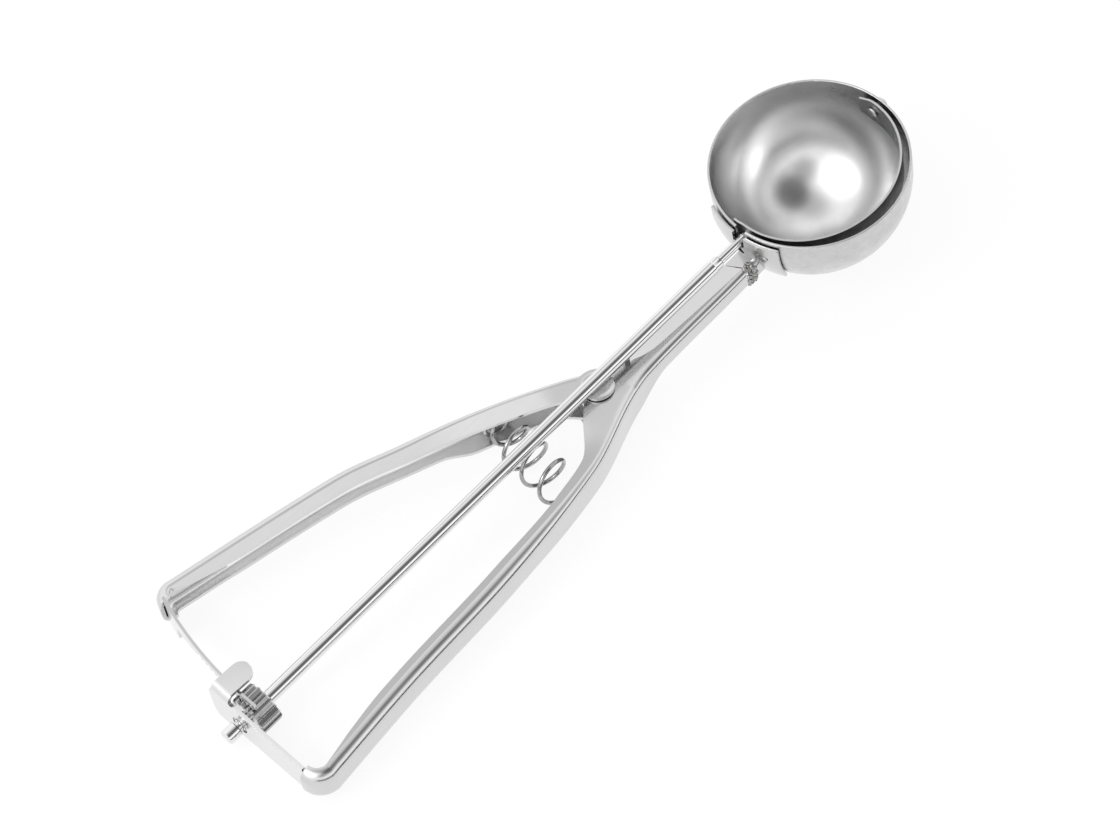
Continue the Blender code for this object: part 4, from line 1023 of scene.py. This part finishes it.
settle(rack, "toothed_rack")
STRIP_STEEL = steel(
    "strip_steel", grey(0.62), grey(0.54), (0.1, 0.2), (1500.0, 80.0), smudge=120.0, relief=0.003
)
dress(rack, STRIP_STEEL, "lever", "strip_steel", "rack")


# Return spring: one 1.1 mm spring-steel wire, wound close on the pressed seat in each grip and
# open between them. It pushes the grips apart, and each of its ends moves with its grip.
WIRE = 1.1 * MM
SEAT_COIL = 3.15 * MM
COIL_SWELL = 1.95 * MM
COIL_SAG = 0.7 * MM
CLOSE_PITCH = 1.9 * MM
OPEN_COILS = 4
COILS = OPEN_COILS + 2
STEPS_PER_COIL = 40
place, inward = seat_point(FRAME_SEAT_X, frame_spread, -1)
spring_start = place + inward * (SHEET + FIT_GAP)
place, inward = seat_point(LEVER_SEAT_X, lever_spread, 1)
spring_end = Matrix.Rotation(-LEVER_OPENING, 3, "Z") @ (place + inward * (SHEET + FIT_GAP))
along = (spring_end - spring_start).normalized()
across = Vector((0, 0, 1))
sideways = along.cross(across).normalized()
length = (spring_end - spring_start).length
open_length = length - 2 * (WIRE + CLOSE_PITCH)
points = []
for i in range(COILS * STEPS_PER_COIL + 1):
    turn = i / STEPS_PER_COIL
    close = min(turn, 1.0) + max(turn - 1.0 - OPEN_COILS, 0.0)
    opened = min(max(turn - 1.0, 0.0), OPEN_COILS)
    reach = WIRE + close * CLOSE_PITCH + opened / OPEN_COILS * open_length
    swell = smooth_step(min(reach - 3.4 * MM, length - reach - 5.4 * MM) / (3.6 * MM))
    radius = SEAT_COIL + COIL_SWELL * swell
    centre = spring_start + along * reach - across * COIL_SAG * (1 + swell)
    angle = math.tau * turn
    points.append(centre + (across * math.cos(angle) + sideways * math.sin(angle)) * radius)
points.insert(0, points[0] - along * WIRE)
points.append(points[-1] + along * WIRE)
spring = wire(points, [1.0] * len(points), thickness=WIRE, resolution=4)
bpy.ops.object.mode_set(mode="EDIT")
bpy.ops.mesh.select_all(action="SELECT")
bpy.ops.mesh.remove_doubles(threshold=0.01 * MM)
close_mesh()
settle(spring, "coil_spring")
SPRING_WIRE = steel(
    "spring_wire_steel", grey(0.62), grey(0.1), (0.05, 0.12), (900.0, 900.0), smudge=600.0, relief=0.002
)
spring.data.materials.append(SPRING_WIRE)
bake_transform(spring)
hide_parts("return_spring")


# Wiper rod: a 3.6 mm polished rod from the end plate to the bowl. Behind the plate it has a necked
# stub with a round head. Its other end is bored, slipped over the blade's shaft and swaged on it.
rod_start = PLATE_X / math.cos(ROD_TILT) / MM - 5.2
stub_head = [(0.0, 0.9), (0.05, 1.3), (0.2, 1.65), (0.45, 1.9), (0.8, 1.98), (3.55, 1.98)]
stub_groove = [(3.75, 1.85), (3.85, 1.5), (4.6, 1.5), (4.75, 1.75), (4.9, 1.8)]
swaged_end = [(40.8, 1.8), (40.95, 1.73), (41.15, 1.67), (43.0, 1.65), (43.2, 1.5)]
rod = lathe([(rod_start + along, radius) for along, radius in stub_head + stub_groove] + swaged_end)
to_rod_line(rod)
settle(rod, "long_rod")
ROD_STEEL = steel(
    "polished_rod_steel", grey(0.78), grey(0.7), (0.05, 0.12), (30.0, 2600.0), smudge=60.0, relief=0.002
)
dress(rod, ROD_STEEL, "wiper", "rod_steel", "wiper_rod")


# Pinion: a toothed roller of 16 teeth, milled from bar, bored and pressed on the rod just in front of
# the end plate. Its teeth are rounded a little at both ends by the milling and tumbling.
PINION_TEETH = 16
PITCH_RADIUS = PINION_TEETH * TOOTH_MODULE / 2
TOOTH_LENGTH = 5.3 * MM
END_LENGTH = 0.35 * MM
END_TAPER = 0.955
deselect()
bpy.ops.mesh.primitive_circle_add(
    vertices=8 * PINION_TEETH, radius=5.4 * MM, fill_type="NGON", rotation=(0, math.pi / 2, 0)
)
pinion = bpy.context.object
fix_place(pinion)
bpy.ops.object.mode_set(mode="EDIT")
# Each tooth takes eight of the circle's points: root, flank and tip on one side, then on the other.
# Each has a radius in mm and a place from the tooth's middle, in half teeth.
rising = ((4.02, -1.55), (4.25, -1.3), (4.8, -1.0), (5.3, -0.62), (5.4, -0.4))
falling = ((5.4, 0.4), (5.3, 0.62), (4.8, 1.0))
tooth_points = rising + falling
half_tooth = (math.pi * TOOTH_MODULE / 2 - BACKLASH) / PITCH_RADIUS / 2
mesh = bmesh.from_edit_mesh(pinion.data)
ring = sorted(mesh.verts, key=lambda vert: math.atan2(vert.co.y, vert.co.z) % math.tau)
for number, vert in enumerate(ring):
    radius, reach = tooth_points[number % 8]
    angle = math.tau * (number // 8 + 0.5) / PINION_TEETH + reach * half_tooth
    vert.co = (0, radius * MM * math.sin(angle), radius * MM * math.cos(angle))
bmesh.update_edit_mesh(pinion.data)
bpy.ops.mesh.select_all(action="SELECT")
for step in (END_LENGTH, TOOTH_LENGTH, END_LENGTH):
    bpy.ops.mesh.extrude_region_move(TRANSFORM_OT_translate={"value": (step, 0, 0)})
bpy.ops.transform.resize(value=(1, END_TAPER, END_TAPER), center_override=(0, 0, 0))
select_where(pinion, "VERT", lambda at, vert: at.x < 0.01 * MM)
bpy.ops.transform.resize(value=(1, END_TAPER, END_TAPER), center_override=(0, 0, 0))
close_mesh()
cut(pinion, along_x(2.0 * MM, -MM, 7 * MM))
pinion.location = (-RACK_RADIUS / math.cos(ROD_TILT) - 1.1 * MM, 0, 0)
to_rod_line(pinion)
settle(pinion, "toothed_pinion")
PINION_STEEL = steel(
    "milled_pinion_steel", grey(0.62), grey(0.52), (0.12, 0.24), (1200.0, 300.0), smudge=300.0, relief=0.003
)
dress(pinion, PINION_STEEL, "wiper", "pinion_steel", "pinion")


# Blade shaft: a thin stainless shaft, turned from bar, that starts inside the rod's bored end and
# runs through the bowl's slot. Its thinner end goes through the blade and is riveted over inside.
turned_part = [(35.5, 1.2), (52.4, 1.2), (52.4, 0.75), (53.6, 0.75)]
riveted_part = [(53.6, 1.45), (53.7, 1.5), (53.9, 1.42), (54.05, 1.15), (54.1, 0.6)]
shaft = lathe(turned_part + riveted_part)
to_rod_line(shaft)
settle(shaft, "wiper_shaft")
dress(shaft, ROD_STEEL, "wiper", "rod_steel", "blade_shaft")


# Wiper blade: a half hoop of 0.6 mm strip that sweeps the bowl and frees the ball. At rest it lies
# along the side away from the lever. Its narrower ends are riveted to the shaft and the far pin. Its
# outer face, which scrapes along the bowl, is rough and dull, and its dark grey is painted shade of
# the narrow gap between the blade and the bowl's wall.
BLADE_SHEET = 0.6 * MM
BLADE_HALF_WIDTH = 4.0 * MM
TAB_NARROWING = 1.2 * MM
HOOP_HALF_LENGTH = 23.5 * MM
HOOP_DEPTH = 21.9 * MM
rows = []
tab = math.radians(11)
for turn in steps(-tab, math.pi + tab, 121):
    past = max(-turn, turn - math.pi, 0.0) / tab
    reach = BLADE_HALF_WIDTH - TAB_NARROWING * smooth_step(past)
    x = BOWL_X + HOOP_HALF_LENGTH * math.cos(turn)
    y = -HOOP_DEPTH * math.sin(turn)
    rows.append([Vector((x, y, reach * share)) for share in (1, 0.5, 0, -0.5, -1)])
blade = formed_sheet(rows, Vector((1, 0, 0)))
thicken(blade, BLADE_SHEET, rim=1)
soften(blade, 0.1 * MM)
cut(blade, along_x(0.95 * MM, BOWL_X - BOWL_RADIUS, BOWL_X + BOWL_RADIUS))
to_rod_line(blade)
settle(blade, "sweep_blade")
BLADE_STEEL = steel("blade_steel", grey(0.56), grey(0.48), (0.2, 0.3), (120.0, 1500.0), relief=0.003)
# Painted shade: the blade's outer face is coloured near black for the shade in the gap by the bowl's wall.
PAINTED_SHADE_BLADE = steel(
    "blade_steel_painted_shade", grey(0.3), grey(0.08), (0.3, 0.5), (300.0, 900.0), smudge=260.0, relief=0.004
)
dress(blade, PAINTED_SHADE_BLADE, "wiper", "strip_steel", "wiper_blade", inner=BLADE_STEEL)


# Far pin: a small headed stainless pin through the bowl's far wall. It carries the blade's other
# end, and is riveted over inside it.
riveted_part = [(98.3, 0.6), (98.33, 1.1), (98.45, 1.38), (98.6, 1.5), (98.8, 1.5)]
pin_shank = [(98.8, 0.75), (100.0, 0.75), (100.0, 1.2), (101.5, 1.2)]
pin_head = [(101.5, 1.9), (101.6, 2.0), (102.3, 2.0), (102.65, 1.8), (102.9, 1.4), (103.0, 0.7)]
pin = lathe(riveted_part + pin_shank + pin_head)
to_rod_line(pin)
settle(pin, "far_pin")
dress(pin, RIVET_STEEL, "wiper", "rivet_steel", "far_pivot_pin")


# Studio: a large pale table under the scoop, which lies on its bowl and the ends of its grips. The
# room is a white tent with a grey panel high on the far side, a bright window on the left, a dark
# strip low on the near side and two dim places above it. One soft lamp adds its glints.
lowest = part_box("bowl")[0].z
deselect()
bpy.ops.mesh.primitive_circle_add(vertices=96, radius=4.0, fill_type="NGON")
table = bpy.context.object
table.name = "pale_table"
foot_spacing = 196 * MM
slope = math.atan2(GRIP_FOOT - lowest, foot_spacing)
table.rotation_euler = (0, slope, 0)
table.location = Vector((78.5 * MM, 0, lowest - 0.3 * MM))
fix_place(table)
table_paint = bpy.data.materials.new("pale_table_paint")
table_paint.use_nodes = True
tree = table_paint.node_tree
shader = tree.nodes["Principled BSDF"]
shader.inputs["Roughness"].default_value = 0.9
shader.inputs["Specular IOR Level"].default_value = 0.1
place = tree.nodes.new("ShaderNodeTexCoord").outputs["Object"]
grain = add_node(tree, "ShaderNodeTexNoise", {"Vector": place, "Scale": 400.0}).outputs["Fac"]
tones = {"Factor": grain, "A": grey(0.78), "B": grey(0.8)}
tone = add_node(tree, "ShaderNodeMix", tones, data_type="RGBA")
tree.links.new(tone.outputs["Result"], shader.inputs["Base Color"])
# The table glows a little of its own, more in the steel's reflections than towards the camera.
rays = tree.nodes.new("ShaderNodeLightPath").outputs
strength = map_node(tree, rays["Is Camera Ray"], 0.0, 1.0, 1.15, 1.03)
glow = add_node(tree, "ShaderNodeEmission", {"Strength": strength})
seen = math_node(tree, "MAXIMUM", rays["Is Camera Ray"], rays["Is Glossy Ray"])
share = math_node(tree, "MULTIPLY", seen, 0.86)
layers = {"Fac": share, 1: shader.outputs["BSDF"], 2: glow.outputs["Emission"]}
blend = add_node(tree, "ShaderNodeMixShader", layers)
tree.links.new(blend.outputs["Shader"], tree.nodes["Material Output"].inputs["Surface"])
table.data.materials.append(table_paint)

world = bpy.data.worlds.new("studio_tent")
bpy.context.scene.world = world
world.use_nodes = True
sky = world.node_tree
direction = sky.nodes.new("ShaderNodeTexCoord").outputs["Generated"]


def ramp_between(value, low, high, tone_low, tone_high):
    """A soft step from one tone to another while a value goes from low to high."""
    return map_node(sky, value, low, high, tone_low, tone_high, interpolation_type="SMOOTHSTEP")


def wall_of_light(value, stops):
    """Tone of one side of the tent, from its foot at 0 to the top at 1, as a share of 2."""
    ramp = add_node(sky, "ShaderNodeValToRGB", {"Fac": value})
    ramp.color_ramp.elements[0].position = 0.0
    ramp.color_ramp.elements[1].position = 1.0
    for height_of, _ in stops[1:-1]:
        ramp.color_ramp.elements.new(height_of)
    for stop, (_, tone_of) in zip(ramp.color_ramp.elements, stops):
        stop.color = grey(tone_of / 2)
    return ramp.outputs["Color"]


def towards(azimuth, elevation):
    """Cosine between the looked-at direction and a given one, in degrees from +X and up."""
    turn, rise = math.radians(azimuth), math.radians(elevation)
    level = math.cos(rise)
    aim = (level * math.cos(turn), level * math.sin(turn), math.sin(rise))
    dot = add_node(sky, "ShaderNodeVectorMath", {0: direction, 1: aim}, operation="DOT_PRODUCT")
    return dot.outputs["Value"]


height = towards(0, 90)
far_tones = [(0.0, 0.9), (0.1, 1.25), (0.9, 1.25), (0.95, 0.95), (0.98, 0.7), (1.0, 0.65)]
far_wall = wall_of_light(height, far_tones)
dark_strip = [(0.0, 0.05), (0.19, 0.05)]
near_tones = [(0.28, 1.4), (0.5, 1.4), (0.64, 0.95), (0.88, 0.9), (0.97, 0.7), (1.0, 0.65)]
near_wall = wall_of_light(height, dark_strip + near_tones)
near_side = ramp_between(towards(-67, 0), 0.05, 0.3, 0.0, 1.0)
sides = add_node(sky, "ShaderNodeMix", {"Factor": near_side, "A": far_wall, "B": near_wall})
grey_panel = ramp_between(towards(60, 44), 0.95, 0.99, 2.0, 1.2)
camera_shade = ramp_between(towards(-126, 48), 0.95, 0.99, 1.0, 0.6)
dark_room = ramp_between(towards(-74, 63), 0.9, 0.975, 1.0, 0.2)
left_window = ramp_between(towards(176, 48), 0.84, 0.99, 1.0, 1.6)
tone = sides.outputs["Result"]
for share in (grey_panel, camera_shade, dark_room, left_window):
    tone = math_node(sky, "MULTIPLY", tone, share)
sky.links.new(tone, sky.nodes["Background"].inputs["Strength"])
sky.nodes["Background"].inputs["Color"].default_value = grey(1.0)

lamp_place = Vector((-0.8, 0.31, 0.84))
lamp_target = Vector((0.076, 0.0, 0.0))
deselect()
bpy.ops.object.light_add(type="AREA", location=lamp_place)
lamp = bpy.context.object
lamp.name = "left_softbox"
lamp.data.shape = "RECTANGLE"
lamp.data.size = 0.5
lamp.data.size_y = 0.28
lamp.data.energy = 2.4
lamp.rotation_euler = (lamp_target - lamp_place).to_track_quat("-Z", "Y").to_euler()

deselect()
bpy.ops.object.camera_add(
    location=(-0.314693, -0.39694, 0.734636),
    rotation=(math.radians(34.2021), math.radians(5.5871), math.radians(-45.3988)),
)
camera = bpy.context.object
camera.data.lens = 118.585
camera.data.sensor_width = 36.0
camera.data.clip_end = 50.0
bpy.context.scene.camera = camera
bpy.context.scene.view_settings.view_transform = "Standard"
